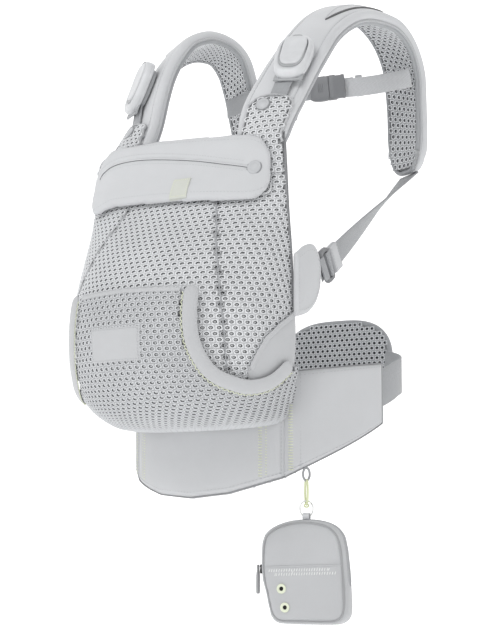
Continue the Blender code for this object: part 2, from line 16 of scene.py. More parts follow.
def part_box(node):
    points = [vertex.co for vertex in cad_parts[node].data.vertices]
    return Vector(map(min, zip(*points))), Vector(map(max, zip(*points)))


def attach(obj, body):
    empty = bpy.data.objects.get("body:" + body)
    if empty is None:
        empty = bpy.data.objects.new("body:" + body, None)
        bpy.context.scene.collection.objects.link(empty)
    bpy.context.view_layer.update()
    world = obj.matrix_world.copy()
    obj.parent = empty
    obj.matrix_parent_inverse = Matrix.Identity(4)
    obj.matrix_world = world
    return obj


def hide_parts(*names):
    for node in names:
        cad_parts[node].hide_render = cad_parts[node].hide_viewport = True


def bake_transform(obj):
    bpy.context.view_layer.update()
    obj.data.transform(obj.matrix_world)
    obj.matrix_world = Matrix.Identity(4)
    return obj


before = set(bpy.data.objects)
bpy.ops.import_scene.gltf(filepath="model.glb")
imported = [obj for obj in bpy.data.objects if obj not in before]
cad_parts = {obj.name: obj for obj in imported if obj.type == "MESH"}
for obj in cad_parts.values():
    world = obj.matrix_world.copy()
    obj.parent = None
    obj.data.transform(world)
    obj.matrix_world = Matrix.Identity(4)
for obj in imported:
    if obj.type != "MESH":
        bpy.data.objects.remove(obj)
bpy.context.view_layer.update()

MM = 0.001
BELT_AXIS = np.array((0.0, -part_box("belly_pad")[1].y * 1000 + 112.0, 38.0))
SIDES = ((1, "left"), (-1, "right"))
CARRIER = "carrier"

# Waist belt.
BELT_RADIUS = 147.0
BELT_SEAM = 40.0
BELT_END = 88.0
BELT_BOTTOM = [(0, -95), (17, -91), (26, -85), (40, -75), (65, -45), (88, -17)]
BELT_TOP = [(0, 18), (40, 31), (88, 45)]
BELLY_PAD = (118.0, 74.0)
BELLY_Z = -38.0
BELLY_FACE_Y = -112.0
BELLY_BACK_RADIUS = 133.4
LUMBAR_PAD = (144.0, 108.0)
LUMBAR_Z = 57.0
LUMBAR_DEPTH = (135.0, 151.5)
LUMBAR_FACE_Y = 129.0
WAIST_WEBBING = 38.0
WAIST_RADIUS = 142.0
WAIST_LINE = [(88, 19), (105, 33), (150, 55)]

# Body: height at the middle, height at the side seams, half width, side seam Y, front Y.
BODY = np.array([
    (-23, -16, 91, -118.5, -148.5),
    (-20, -8, 104, -124, -190),
    (-3, 10, 116, -131, -230),
    (29, 34, 124, -138, -252),
    (66, 68, 129, -143, -258),
    (105, 105, 129, -146, -251),
    (150, 150, 128, -148, -225),
    (192, 192, 126, -150, -191),
    (230, 230, 124, -150, -168),
    (276, 276, 120, -148, -158),
], float)
SEAM = [(8, 0.56), (58, 0.545), (98, 0.515), (126, 0.474), (170, 0.384), (196, 0.32), (262, 0.25)]
SEAT_TOP = [(0, 105), (0.31, 104), (0.335, 66), (0.36, 47), (0.41, 31), (0.475, 18), (0.57, 11), (0.69, 8),
            (0.85, 16), (1.0, 36)]
SIDE_BOTTOM = [(0.56, 10), (0.68, 25), (0.725, 41), (0.78, 57), (0.88, 72), (1.0, 85)]
BINDING = [(0.37, 106), (0.37, 76), (0.384, 55), (0.42, 38), (0.475, 24), (0.565, 16), (0.67, 13), (0.80, 19),
           (0.93, 36)]
BODY_TOP_Z = 262.0
# Seat patch: width, half height in stations, place across, height of its middle.
PATCH = (62.0, 0.43, -0.03, 53.0)
# Collar tag: place across, height of its middle, half width in s, half height.
TAG = (0.085, 212.5, 0.054, 10.4)
BODY_CLOTH = (-0.8, 5.0)
COLLAR_MIDDLE = 236.0
COLLAR_HALF = 35.0
COLLAR_REACH = 0.73
COLLAR_TILT = -12.0
COLLAR_SNAP = 0.571
COLLAR_FOLD = (261.0, 272.0)

# Shoulder straps: inner edge Y, inner edge Z, outer edge X, outer edge Y, outer edge Z.
STRAP_INNER_X = 64.0
STRAP_CROWN = 4.0
STRAP_HALF = 30.5
STRAP_GROOVE = 7.5
STRAP_FOOT_X = 121.0
STRAP_FOOT_Z = 268.0
STRAP_STATIONS = 13.0
STRAP = {
    "left": np.array([
        (-157, 268, 125, -150, 268), (-145, 305, 125, -127, 305), (-117, 342, 125, -100, 342),
        (-92, 370, 125, -78, 370), (-65, 398, 124, -52, 398), (-32, 425, 124, -23, 418),
        (5, 445, 124, 9, 431), (44, 455, 124, 46, 437), (83, 456, 124, 84, 436), (122, 442, 124, 115, 420),
        (150, 415, 123, 134, 392), (161, 378, 122, 139, 360), (165, 335, 122, 140, 322),
        (163, 279, 121, 138, 279),
    ], float),
    "right": np.array([
        (-148, 268, 122, -134, 268), (-131, 303, 121, -104, 303), (-120, 338, 121, -87, 338),
        (-109, 366, 121, -73, 362), (-91, 393, 121, -55, 385), (-66, 417, 121, -30, 404),
        (-32, 432, 121, -4, 419), (0, 436, 122, 25, 428), (30, 432, 122, 55, 429), (52, 419, 122, 80, 415),
        (66, 396, 122, 96, 391), (78, 365, 122, 108, 358), (90, 330, 122, 118, 325), (98, 286, 122, 124, 286),
    ], float),
}
BUCKLE = (39.0, 62.0)
BUCKLE_PLACE = {"left": (0.26, 2.22), "right": (0.0, 2.40)}
SNAP_ACROSS = {"left": -0.1, "right": 0.1}
TONGUE_REACH = {"left": (-0.62, 0.84), "right": (-0.7, 0.66)}
# Inset on top of each strap: first and last station, place across and half width.
STRAP_WINDOW = (4.5, 7.7, 0.26, 0.27)
LOCK_CENTRE = (133.0, -92.0, 140.0)
LOCK = (34.0, 20.0)
LOCK_OPENING = (27.4, 13.0)
SIDE_WEBBING = 25.0
# Side wing: outline as (y, z), and its padding's section as (scale, x).
WING_OUTLINE = [(-158, 82), (-147, 82), (-130, 87), (-116, 98), (-108, 114), (-106, 134), (-110, 151),
                (-119, 159), (-134, 155), (-147, 146), (-158, 141)]
WING_FRONT_Y = -150.5
WING_SECTION = ((0.0, 131.0), (0.6, 131.0), (0.94, 131.3), (1.0, 132.4), (1.01, 133.8), (1.0, 135.4),
                (0.95, 136.8), (0.86, 137.5), (0.8, 137.3), (0.6, 138.2), (0.3, 138.8), (0.0, 139.0))
CROSS_LEFT = (113.0, 113.5, 383.0)
CROSS_BEND = (-60.0, 49.0, 368.0)
CROSS_RIGHT = (-112.0, 72.0, 368.0)
CROSS_MOUTH = 0.5
CROSS_WIDTH = 22.0

# Pouch and the links that it hangs from.
HANG_ANGLE = 49.0
HANG_RADIUS = 145.5
POUCH_FACING = 14.0
HANG_Z = (-67.5, -78.5, -101.5, -115.0)
HOOK_WIDTH = 10.0
HOOK_GAP = (50.0, 122.0)
POUCH = (93.0, 104.0, 26.0)
POUCH_DROP = 16.3
POCKET_HALF = 40.0
POCKET_TILT = 1.2 / POCKET_HALF

# Open mesh: eyelet pitch across and row to row, and the radii of an eyelet's rings in parts of the pitch.
BODY_MESH = (8.2, 5.9)
STRAP_MESH = (9.2, 6.8)
SEAT_PITCH = (7.4, 5.4)
LUMBAR_MESH = (6.6, 5.6)
EYELET_RADII = (0.43, 0.35, 0.285, 0.25, 0.185)
LUMBAR_RADII = (0.46, 0.42, 0.37, 0.34, 0.24)

# Studio: viewing angle, camera place in metres, lens, and lights as (name, azimuth, height angle,
# distance, size, power).
STUDIO_CENTRE = (0.0, 0.1, 0.15)
VIEW_AZIMUTH = 35.5
CAMERA_AT = (1.134, -1.518, -0.096)
LOOK_AT = (-0.0187, 0.0986, 0.148)
LENS = 104.7
WORLD_STRENGTH = 0.66
LIGHTS = (
    ("key_light", 0.0, 42.0, 2.2, 1.4, 15.0),
    ("fill_light", 85.0, 22.0, 2.4, 1.6, 3.0),
    ("rim_light", 200.0, 50.0, 2.4, 1.4, 6.0),
    ("low_light", -50.0, 5.0, 2.6, 1.6, 3.0),
)


# ---------------------------------------------------------------- vector helpers

def vec(*values):
    return np.array(values, float)


def xyz(x, y, z):
    """Points from their three coordinates, any of which may be the same for all."""
    return np.stack(np.broadcast_arrays(x, y, z), -1).astype(float)


def unit(vectors):
    vectors = np.asarray(vectors, float)
    return vectors / np.linalg.norm(vectors, axis=-1, keepdims=True)


def blend(stations, t):
    """Catmull-Rom values at t, counted in stations."""
    t = np.asarray(t, float)
    ends = np.vstack([2 * stations[0] - stations[1], stations, 2 * stations[-1] - stations[-2]])
    i = np.clip(np.floor(t).astype(int), 0, len(stations) - 2)
    f = (t - i)[..., None]
    p, q, r, s = ends[i], ends[i + 1], ends[i + 2], ends[i + 3]
    return q + 0.5 * f * (r - p + f * (2 * p - 5 * q + 4 * r - s + f * (3 * (q - r) + s - p)))


def graph(points, x):
    """Height of a polyline of (x, height) points, the same on both sides of zero."""
    xs, ys = zip(*points)
    return np.interp(np.abs(x), xs, ys)


def smooth_step(x):
    x = np.clip(x, 0, 1)
    return x * x * (3 - 2 * x)


def ripple(points, size, seed=0.0):
    """Smooth uneven value from -1 to 1 at each point, with lumps of about that size in millimetres."""
    p = np.asarray(points, float) / size
    total = np.zeros(p.shape[:-1])
    waves = ((1.0, 0.43, 0.71), (-0.57, 1.1, 0.37), (0.61, -0.49, 1.23), (1.37, 0.87, -0.95))
    for k, (a, b, c) in enumerate(waves):
        total += np.sin(a * p[..., 0] + b * p[..., 1] + c * p[..., 2] + seed + 1.7 * k)
    return total / 4


def frame_of(origin, across, up):
    """(origin, x, y, z): x along across, z square to across and up, y nearest to up."""
    x = unit(across)
    z = unit(np.cross(x, up))
    return np.array([origin, x, np.cross(z, x), z], float)


def placed(place, local):
    """Points given in a frame's own x, y, z, in the belt's frame."""
    local = np.asarray(local, float)
    return place[0] + local[..., 0:1] * place[1] + local[..., 1:2] * place[2] + local[..., 2:3] * place[3]


def turned_by(place, local):
    """Directions given in a frame's own x, y, z, in the belt's frame."""
    return placed(place, local) - place[0]


# ---------------------------------------------------------------- surfaces

def ring_point(angle, z, radius=BELT_RADIUS):
    turn = np.radians(angle)
    return xyz(radius * np.sin(turn), -radius * np.cos(turn), z)


def belt_point(angle, k):
    low, high = graph(BELT_BOTTOM, angle), graph(BELT_TOP, angle)
    return ring_point(angle, low + (high - low) * k)


def body_point(s, v):
    s, v = np.broadcast_arrays(np.asarray(s, float), np.asarray(v, float))
    middle_z, side_z, half, side_y, front_y = np.moveaxis(blend(BODY, v), -1, 0)
    turn = s * math.pi / 2
    y = side_y - (side_y - front_y) * np.cos(turn)
    return np.stack([half * np.sin(turn), y, middle_z + (side_z - middle_z) * s * s], -1)


def body_station(z, s=0.0):
    """Station of the body surface at height z, on the line s."""
    z, s = np.broadcast_arrays(np.asarray(z, float), np.asarray(s, float))
    low, high = np.zeros(z.shape), np.full(z.shape, len(BODY) - 1.0)
    for _ in range(36):
        middle = (low + high) / 2
        under = body_point(s, middle)[..., 2] < z
        low, high = np.where(under, middle, low), np.where(under, high, middle)
    return low


def strap_surface(label):
    """Outer face of a shoulder strap: w runs from its inner to its outer edge, t along it in stations."""
    stations = STRAP[label]

    def point(w, t):
        w, t = np.broadcast_arrays(np.asarray(w, float), np.asarray(t, float))
        a, b = blend(stations, t), blend(stations, t + 0.01)
        inner = xyz(STRAP_INNER_X, a[..., 0], a[..., 1])
        outer = a[..., 2:5]
        step = (b - a)[..., [0, 1]] + (b - a)[..., [3, 4]]
        run = xyz(0, step[..., 0], step[..., 1])
        crown = unit(np.cross(outer - inner, run)) * (STRAP_CROWN * (1 - w * w))[..., None]
        return inner + (outer - inner) * ((w + 1) / 2)[..., None] + crown

    return point


def normal_of(surface, u, v, step=1e-3):
    along = surface(u + step, v) - surface(u - step, v)
    up = surface(u, v + step) - surface(u, v - step)
    return unit(np.cross(along, up))


def shifted(surface, u, v, out):
    u, v = np.broadcast_arrays(np.asarray(u, float), np.asarray(v, float))
    return surface(u, v) + normal_of(surface, u, v) * np.asarray(out, float)[..., None]


def line_on(surface, u, v, out):
    """(points, normals) of a line on a surface, lifted by out."""
    u, v = np.broadcast_arrays(np.asarray(u, float), np.asarray(v, float))
    return shifted(surface, u, v, out), normal_of(surface, u, v)


def strap_frame(strap, w, t, out):
    """Frame on a shoulder strap: x across towards the arm, y up the strap, z away from the strap."""
    across = strap(w + 0.05, t) - strap(w - 0.05, t)
    up = strap(w, t + 0.05) - strap(w, t - 0.05)
    return frame_of(shifted(strap, w, t, out), across, up)


class Flat:
    """A curved surface laid flat: flat millimetres (x, y), x from u = 0, to points and normals."""

    def __init__(self, surface, u_range, v_range, step=1.5):
        u, v = np.linspace(*u_range, 201), np.linspace(*v_range, 301)
        rows, columns = np.meshgrid(v, u, indexing="ij")
        points = surface(columns, rows)
        across = np.linalg.norm(np.diff(points, axis=1), axis=2).cumsum(axis=1)
        across = np.hstack([np.zeros((len(v), 1)), across])
        zero = np.array([np.interp(0.0, u, line) for line in across])
        across -= zero[:, None]
        middle = surface(np.zeros(len(v)), v)
        along = np.concatenate([[0], np.linalg.norm(np.diff(middle, axis=0), axis=1).cumsum()])
        self.u, self.v, self.across, self.along = u, v, across, along
        self.step = step
        self.x0 = math.floor(across[:, 0].min() / step) * step
        xs = np.arange(self.x0, across[:, -1].max() + 2 * step, step)
        ys = np.arange(0, along[-1] + 2 * step, step)
        v_of = np.interp(ys, along, v)
        lines = np.array([self.across_at(value) for value in v_of])
        u_of = np.array([np.interp(xs, line, u) for line in lines])
        self.left, self.right = lines[:, 0], lines[:, -1]
        grid_v = np.repeat(v_of[:, None], len(xs), axis=1)
        self.point_table = surface(u_of, grid_v)
        self.normal_table = normal_of(surface, u_of, grid_v)
        self.u_table = u_of

    def across_at(self, v):
        i = np.clip((v - self.v[0]) / (self.v[-1] - self.v[0]) * (len(self.v) - 1), 0, len(self.v) - 1.001)
        k, f = int(i), i - int(i)
        return self.across[k] * (1 - f) + self.across[k + 1] * f

    def sample(self, table, x, y):
        i = np.clip(np.asarray(y, float) / self.step, 0, table.shape[0] - 1.001)
        j = np.clip((np.asarray(x, float) - self.x0) / self.step, 0, table.shape[1] - 1.001)
        i0, j0 = i.astype(int), j.astype(int)
        a, b = i - i0, j - j0
        if table.ndim == 3:
            a, b = a[..., None], b[..., None]
        top = table[i0, j0] * (1 - b) + table[i0, j0 + 1] * b
        low = table[i0 + 1, j0] * (1 - b) + table[i0 + 1, j0 + 1] * b
        return top * (1 - a) + low * a

    def point(self, x, y, out=0.0):
        normals = unit(self.sample(self.normal_table, x, y))
        return self.sample(self.point_table, x, y) + normals * np.asarray(out, float)[..., None]

    def parameter(self, x, y):
        return self.sample(self.u_table, x, y)

    def reach(self, y):
        """Flat x of the two side edges at flat y."""
        places = np.arange(len(self.left)) * self.step
        return np.interp(y, places, self.left), np.interp(y, places, self.right)


# ---------------------------------------------------------------- mesh makers

def piece(name, points, faces, paints, body=CARRIER, nodes=(), slot=None, uvs=None, paint_of=None, sharp=38,
          relief=None, turn=False):
    """Makes one mesh piece from belt-frame millimetres, which rides on its body, if it has one."""
    mesh = bpy.data.meshes.new(name)
    points = (np.asarray(points, float) + BELT_AXIS) * MM
    mesh.from_pydata(points.tolist(), [], faces)
    if turn:
        shape = bmesh.new()
        shape.from_mesh(mesh)
        bmesh.ops.recalc_face_normals(shape, faces=shape.faces)
        if shape.calc_volume(signed=True) < 0:
            bmesh.ops.reverse_faces(shape, faces=shape.faces)
        shape.to_mesh(mesh)
        shape.free()
    if uvs is not None:
        layer = mesh.uv_layers.new(name="flat")
        corners = np.zeros(len(mesh.loops), np.int32)
        mesh.loops.foreach_get("vertex_index", corners)
        layer.data.foreach_set("uv", np.asarray(uvs, np.float32)[corners].ravel())
    if relief is not None:
        level = mesh.attributes.new("relief", "FLOAT", "POINT")
        level.data.foreach_set("value", np.asarray(relief, np.float32))
    for paint in paints if isinstance(paints, (list, tuple)) else [paints]:
        mesh.materials.append(paint)
    if paint_of is not None:
        mesh.polygons.foreach_set("material_index", np.asarray(paint_of, np.int32))
    mesh.shade_smooth()
    if sharp:
        mesh.set_sharp_from_angle(angle=math.radians(sharp))
    made = bpy.data.objects.new(name, mesh)
    bpy.context.scene.collection.objects.link(made)
    if body:
        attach(made, body)
    if nodes:
        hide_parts(*([nodes] if isinstance(nodes, str) else nodes))
    return made


def joined(parts):
    """(points, faces) of several (points, faces) as one."""
    points, faces, count = [], [], 0
    for some, more in parts:
        points.append(np.asarray(some, float).reshape(-1, 3))
        faces += [[i + count for i in face] for face in more]
        count += len(points[-1])
    return np.vstack(points), faces


def flip_side(points, side):
    return np.asarray(points, float) * (side, 1, 1)


def gathered(name, parts, paint, side=1, body=CARRIER, place=None, **more):
    """One piece of several (points, faces), such as rows of stitches, in a place's own frame if given."""
    points, faces = joined(parts)
    if place is not None:
        points = placed(place, points)
    return piece(name, flip_side(points, side), faces, paint, body, turn=True, **more)


def grid_uvs(front):
    """Flat millimetres of a grid of points, by its chord lengths."""
    across = np.zeros(front.shape[:2])
    along = np.zeros(front.shape[:2])
    across[1:] = np.linalg.norm(np.diff(front, axis=0), axis=2).cumsum(axis=0)
    along[:, 1:] = np.linalg.norm(np.diff(front, axis=1), axis=2).cumsum(axis=1)
    across -= across[len(front) // 2]
    return np.stack([across, along], -1)


def quilt(name, front, back, paints, side=1, **more):
    """Closed sheet between two grids of points of the same shape."""
    front, back = np.asarray(front, float), np.asarray(back, float)
    wide, high = front.shape[:2]
    index = np.arange(wide * high).reshape(wide, high)
    total = wide * high
    faces = []
    for i in range(wide - 1):
        for j in range(high - 1):
            a, b, c, d = index[i, j], index[i + 1, j], index[i + 1, j + 1], index[i, j + 1]
            faces.append([a, b, c, d])
            faces.append([total + d, total + c, total + b, total + a])
    rim = [*index[:, 0], *index[-1, 1:], *index[-2::-1, -1], *index[0, -2:0:-1]]
    for a, b in zip(rim, rim[1:] + rim[:1]):
        faces.append([b, a, total + a, total + b])
    points = flip_side(np.vstack([front.reshape(-1, 3), back.reshape(-1, 3)]), side)
    if side < 0:
        faces = [face[::-1] for face in faces]
    uvs = grid_uvs(front).reshape(-1, 2)
    return piece(name, points, faces, paints, uvs=np.vstack([uvs, uvs]), turn=True, **more)


def cushion_offsets(shape, rounding, puff, base=0.0):
    """Offsets over a grid that rise from base at its edges to base + puff inside."""
    rows = np.minimum(np.arange(shape[0]), np.arange(shape[0])[::-1])[:, None] / max(rounding[0], 1e-6)
    columns = np.minimum(np.arange(shape[1]), np.arange(shape[1])[::-1])[None, :] / max(rounding[1], 1e-6)
    edge = np.clip(np.minimum(rows, columns), 0, 1)
    return base + puff * np.sqrt(1 - (1 - edge) ** 2)


def sweep_mesh(path, normals, section, scale=None, closed=False):
    """(points, faces, uvs) of a section of (across, out) points carried along a path."""
    path, normals = np.asarray(path, float), unit(normals)
    if closed:
        run = np.roll(path, -1, axis=0) - np.roll(path, 1, axis=0)
    else:
        run = np.gradient(path, axis=0)
    run = unit(run)
    across = unit(np.cross(run, normals))
    out = np.cross(across, run)
    section = np.asarray(section, float)
    count = len(section)
    scale = np.ones((len(path), 2)) if scale is None else np.asarray(scale, float)
    points = path[:, None] + across[:, None] * (section[None, :, 0:1] * scale[:, None, 0:1])
    points = points + out[:, None] * (section[None, :, 1:2] * scale[:, None, 1:2])
    faces = []
    total = len(path)
    for i in range(total if closed else total - 1):
        j = (i + 1) % total
        for k in range(count):
            m = (k + 1) % count
            faces.append([i * count + k, i * count + m, j * count + m, j * count + k])
    if not closed:
        faces += [list(range(count))[::-1], [(total - 1) * count + k for k in range(count)]]
    length = np.concatenate([[0], np.linalg.norm(np.diff(path, axis=0), axis=1).cumsum()])
    uvs = np.stack(np.broadcast_arrays(section[None, :, 0], length[:, None]), -1).reshape(-1, 2)
    return points.reshape(-1, 3), faces, uvs


def sweep(name, path, normals, section, paint, side=1, scale=None, closed=False, **more):
    points, faces, uvs = sweep_mesh(path, normals, section, scale, closed)
    return piece(name, flip_side(points, side), faces, paint, uvs=uvs, turn=True, **more)


def round_section(radius, count=10, flat=1.0):
    turn = np.arange(count) * 2 * math.pi / count
    return np.stack([radius * np.cos(turn), radius * flat * np.sin(turn)], -1)


def tape_section(width, thick, edge=0.5):
    """Section of flat tape with rounded edges."""
    half, t = width / 2, thick / 2
    return [(-half, 0), (-half + edge * 0.4, t * 0.8), (-half + edge, t), (-half * 0.35, t), (half * 0.35, t),
            (half - edge, t), (half - edge * 0.4, t * 0.8), (half, 0), (half - edge * 0.4, -t * 0.8),
            (half - edge, -t), (half * 0.35, -t), (-half * 0.35, -t), (-half + edge, -t),
            (-half + edge * 0.4, -t * 0.8)]


def arc_lengths(path):
    return np.concatenate([[0], np.linalg.norm(np.diff(path, axis=0), axis=1).cumsum()])


def along_path(path, places):
    """Points of a path at these distances along it."""
    lengths = arc_lengths(path)
    return np.stack([np.interp(places, lengths, path[:, k]) for k in range(3)], -1)


def stitches_mesh(path, normals, length=3.0, gap=1.6, radius=0.45, lift=0.15):
    """(points, faces) of a row of thread stitches along a path."""
    path = np.asarray(path, float)
    total = arc_lengths(path)[-1]
    count = max(int(total / (length + gap)), 1)
    starts = (np.arange(count) + 0.5) * total / count
    middle = along_path(path, starts)
    run = unit(along_path(path, starts + length / 2) - along_path(path, starts - length / 2))
    normals = np.broadcast_to(np.asarray(normals, float), path.shape)
    return thread_pills(middle, run, along_path_normals(path, normals, starts), length, radius, lift)


def along_path_normals(path, normals, places):
    lengths = arc_lengths(path)
    return unit(np.stack([np.interp(places, lengths, normals[:, k]) for k in range(3)], -1))


def thread_pills(middle, run, out, length, radius, lift=0.15):
    """(points, faces) of short threads, each an elongated bead along run that lies on the cloth."""
    across = unit(np.cross(run, out))
    out = np.cross(across, run)
    turn = np.arange(6) * math.pi / 3
    rings = []
    for along, size in ((-0.5, 0.25), (-0.36, 0.9), (0.0, 1.0), (0.36, 0.9), (0.5, 0.25)):
        sink = -0.6 * radius if abs(along) == 0.5 else 0.0
        rings.append(xyz(along * length, np.cos(turn) * radius * size,
                         np.sin(turn) * radius * size * 0.8 + lift + sink))
    local = np.vstack(rings)
    points = middle[:, None] + local[None, :, 0:1] * run[:, None] + local[None, :, 1:2] * across[:, None]
    points = points + local[None, :, 2:3] * out[:, None]
    one = [[r * 6 + k, r * 6 + (k + 1) % 6, (r + 1) * 6 + (k + 1) % 6, (r + 1) * 6 + k]
           for r in range(4) for k in range(6)]
    one += [list(range(6))[::-1], [24 + k for k in range(6)]]
    faces = [[i + n * 30 for i in face] for n in range(len(middle)) for face in one]
    return points.reshape(-1, 3), faces


def eyelet_cloth(name, flat, keep, mesh, out, thick, paints, side=1, depth=1.5, rise=0.55, radii=EYELET_RADII,
                 both=False, **more):
    """Open mesh cloth: staggered oval eyelets with raised rims on both faces of a sheet."""
    pitch, row = mesh
    angles = np.arange(8) * math.pi / 4
    unit_edge = np.array([(1, 0), (1, 1), (0, 1), (-1, 1), (-1, 0), (-1, -1), (0, -1), (1, -1)]) / 2
    circle = np.stack([np.cos(angles), np.sin(angles)], -1)
    top = flat.point_table.shape[0] * flat.step
    x_first, x_last = flat.left.min(), flat.right.max()
    centres = []
    for r in range(int(top / row) + 1):
        first, last = math.floor(x_first / pitch) - 1, math.ceil(x_last / pitch) + 1
        xs = (np.arange(first, last) + (0.5 if r % 2 else 0.0)) * pitch
        centres.append(np.stack([xs, np.full(len(xs), (r + 0.5) * row)], -1))
    centres = np.vstack(centres)
    centres = centres[keep(centres[:, 0], centres[:, 1])]
    size = np.array([pitch, row])
    edge = centres[:, None] + unit_edge[None] * size
    keys = np.round(edge / size * 2).astype(np.int64)
    keys = (keys[..., 1] + 5000) * 20000 + keys[..., 0] + 5000
    _, first_at, index = np.unique(keys.ravel(), return_index=True, return_inverse=True)
    shared = edge.reshape(-1, 2)[first_at]
    n = len(centres)
    edge_index = index.reshape(n, 8)
    # Each eyelet's walls and floor take the second paint: painted shade in the hole. The front's centre takes
    # the third paint.
    core = paints[2] if len(paints) > 2 else paints[0]
    paints = (paints[0], paints[1], core)
    heights_in = (rise * 0.7, rise, rise * 0.1, -depth, -depth * 0.65)
    face_levels = list(zip(radii, heights_in, (0, 0, 0, 1, 1)))
    back_levels = [(0.40, rise, 0), (0.29, rise * 0.5, 0), (0.24, -depth, 1)]
    if both:
        back_levels = face_levels
    points, relief, faces, paint_of, rims = [], [], [], [], []
    for levels, sign, base in ((face_levels, 1, out), (back_levels, -1, out - thick)):
        start = sum(len(p) for p in points)
        places = [shared] + [(centres[:, None] + circle[None] * size * r).reshape(-1, 2) for r, _,
                             _ in levels]
        heights = [np.full(len(shared), -0.3 * rise)] + [np.full(n * 8, h) for _, h, _ in levels]
        places, heights = np.vstack(places), np.concatenate(heights)
        points.append(flat.point(places[:, 0], places[:, 1], base + sign * heights))
        relief.append(heights / rise)
        loops = [edge_index + start]
        for level, (_, _, slot_of) in enumerate(levels):
            inner = start + len(shared) + level * n * 8 + np.arange(n * 8).reshape(n, 8)
            outer = loops[-1]
            quads = np.stack([outer, np.roll(outer, -1, 1), np.roll(inner, -1, 1), inner], -1).reshape(-1, 4)
            faces += quads[:, ::sign].tolist()
            paint_of += [slot_of] * len(quads)
            loops.append(inner)
        faces += loops[-1][:, ::sign].tolist()
        paint_of += [2 if sign > 0 or both else 1] * n
        rims.append(start)
    pairs = np.stack([edge_index, np.roll(edge_index, -1, 1)], -1).reshape(-1, 2)
    _, where, counts = np.unique(np.sort(pairs, axis=1), axis=0, return_index=True, return_counts=True)
    rim = pairs[where[counts == 1]]
    faces += np.stack([rim[:, 1], rim[:, 0], rim[:, 0] + rims[1], rim[:, 1] + rims[1]], -1).tolist()
    paint_of += [0] * len(rim)
    points = flip_side(np.vstack(points), side)
    if side < 0:
        faces = [face[::-1] for face in faces]
    return piece(name, points, faces, paints, paint_of=paint_of,
                 relief=np.clip(np.concatenate(relief), -1, 1), sharp=None, **more)


# ---------------------------------------------------------------- materials

class Shader:
    """A Principled material under construction, with short names for its nodes."""

    def __init__(self, name, colour, roughness, **sockets):
        self.material = bpy.data.materials.new(name)
        self.material.use_nodes = True
        self.tree = self.material.node_tree
        self.bsdf = self.tree.nodes["Principled BSDF"]
        self.colour = colour
        self.bsdf.inputs["Base Color"].default_value = (*colour, 1)
        self.bsdf.inputs["Roughness"].default_value = roughness
        for socket, value in sockets.items():
            self.bsdf.inputs[socket.replace("_", " ")].default_value = value

    def node(self, kind, **settings):
        made = self.tree.nodes.new(kind)
        for key, value in settings.items():
            setattr(made, key, value)
        return made

    def put(self, value, socket):
        """Links an output to a socket, or sets the socket to a number."""
        if isinstance(value, bpy.types.NodeSocket):
            self.tree.links.new(value, socket)
        elif value is not None:
            socket.default_value = value

    def maths(self, operation, first, second=None):
        made = self.node("ShaderNodeMath", operation=operation)
        for value, socket in zip((first, second), made.inputs):
            self.put(value, socket)
        return made.outputs[0]

    def place(self, scale=(1, 1, 1), uv=False):
        """Object coordinates in metres, or the flat cloth coordinates in millimetres, scaled."""
        if uv:
            source = self.node("ShaderNodeUVMap", uv_map="flat").outputs[0]
        else:
            source = self.node("ShaderNodeTexCoord").outputs["Object"]
        mapping = self.node("ShaderNodeMapping")
        self.put(source, mapping.inputs["Vector"])
        mapping.inputs["Scale"].default_value = scale
        return mapping.outputs[0]

    def noise(self, scale, detail=3.0, roughness=0.55):
        made = self.node("ShaderNodeTexNoise")
        self.put(self.place(), made.inputs["Vector"])
        made.inputs["Scale"].default_value = scale
        made.inputs["Detail"].default_value = detail
        made.inputs["Roughness"].default_value = roughness
        return made.outputs["Fac"]

    def ramp(self, value, stops):
        made = self.node("ShaderNodeValToRGB")
        made.color_ramp.elements[0].position = stops[0][0]
        made.color_ramp.elements[1].position = stops[-1][0]
        for position, _ in stops[1:-1]:
            made.color_ramp.elements.new(position)
        for element, (_, colour) in zip(made.color_ramp.elements, stops):
            element.color = (*colour, 1)
        self.put(value, made.inputs["Fac"])
        return made.outputs["Color"]

    def spread(self, value, low, high):
        made = self.node("ShaderNodeMapRange")
        self.put(value, made.inputs["Value"])
        made.inputs["To Min"].default_value = low
        made.inputs["To Max"].default_value = high
        return made.outputs[0]

    def bump(self, height, distance, strength=1.0, after=None):
        made = self.node("ShaderNodeBump")
        self.put(height, made.inputs["Height"])
        made.inputs["Distance"].default_value = distance
        made.inputs["Strength"].default_value = strength
        if after is not None:
            self.put(after, made.inputs["Normal"])
        return made.outputs["Normal"]

    def finish(self, colour=None, roughness=None, normal=None):
        self.put(colour, self.bsdf.inputs["Base Color"])
        self.put(roughness, self.bsdf.inputs["Roughness"])
        self.put(normal, self.bsdf.inputs["Normal"])
        return self.material


def toned(colour, factor):
    return tuple(min(1.0, c * factor) for c in colour)


THREAD_SIZE = 0.55
THREAD_RELIEF = 0.00012


def woven(name, colour, sheen=0.25):
    """Close plain weave: over and under threads, a little uneven in tone."""
    s = Shader(name, colour, 0.82, Sheen_Weight=sheen, Sheen_Roughness=0.5, Specular_IOR_Level=0.25)
    place = s.place((1000.0 / THREAD_SIZE,) * 3)
    split = s.node("ShaderNodeSeparateXYZ")
    s.put(place, split.inputs[0])
    waves = [s.maths("SINE", s.maths("MULTIPLY", split.outputs[k], math.pi)) for k in range(3)]
    weave = s.maths("MULTIPLY", s.maths("ADD", waves[0], waves[1]), waves[2])
    fibre = s.noise(2600.0, 2.0)
    cloud = s.noise(14.0, 4.0)
    height = s.maths("ADD", s.maths("MULTIPLY", weave, 0.35), fibre)
    tone = s.maths("ADD", s.maths("MULTIPLY", cloud, 0.5), s.maths("MULTIPLY", fibre, 0.5))
    paint = s.ramp(tone, [(0.3, toned(colour, 0.93)), (0.7, toned(colour, 1.06))])
    soft = s.bump(s.noise(45.0, 3.0), 0.0016, 0.35)
    return s.finish(paint, s.spread(cloud, 0.76, 0.9), s.bump(height, THREAD_RELIEF, 0.8, soft))


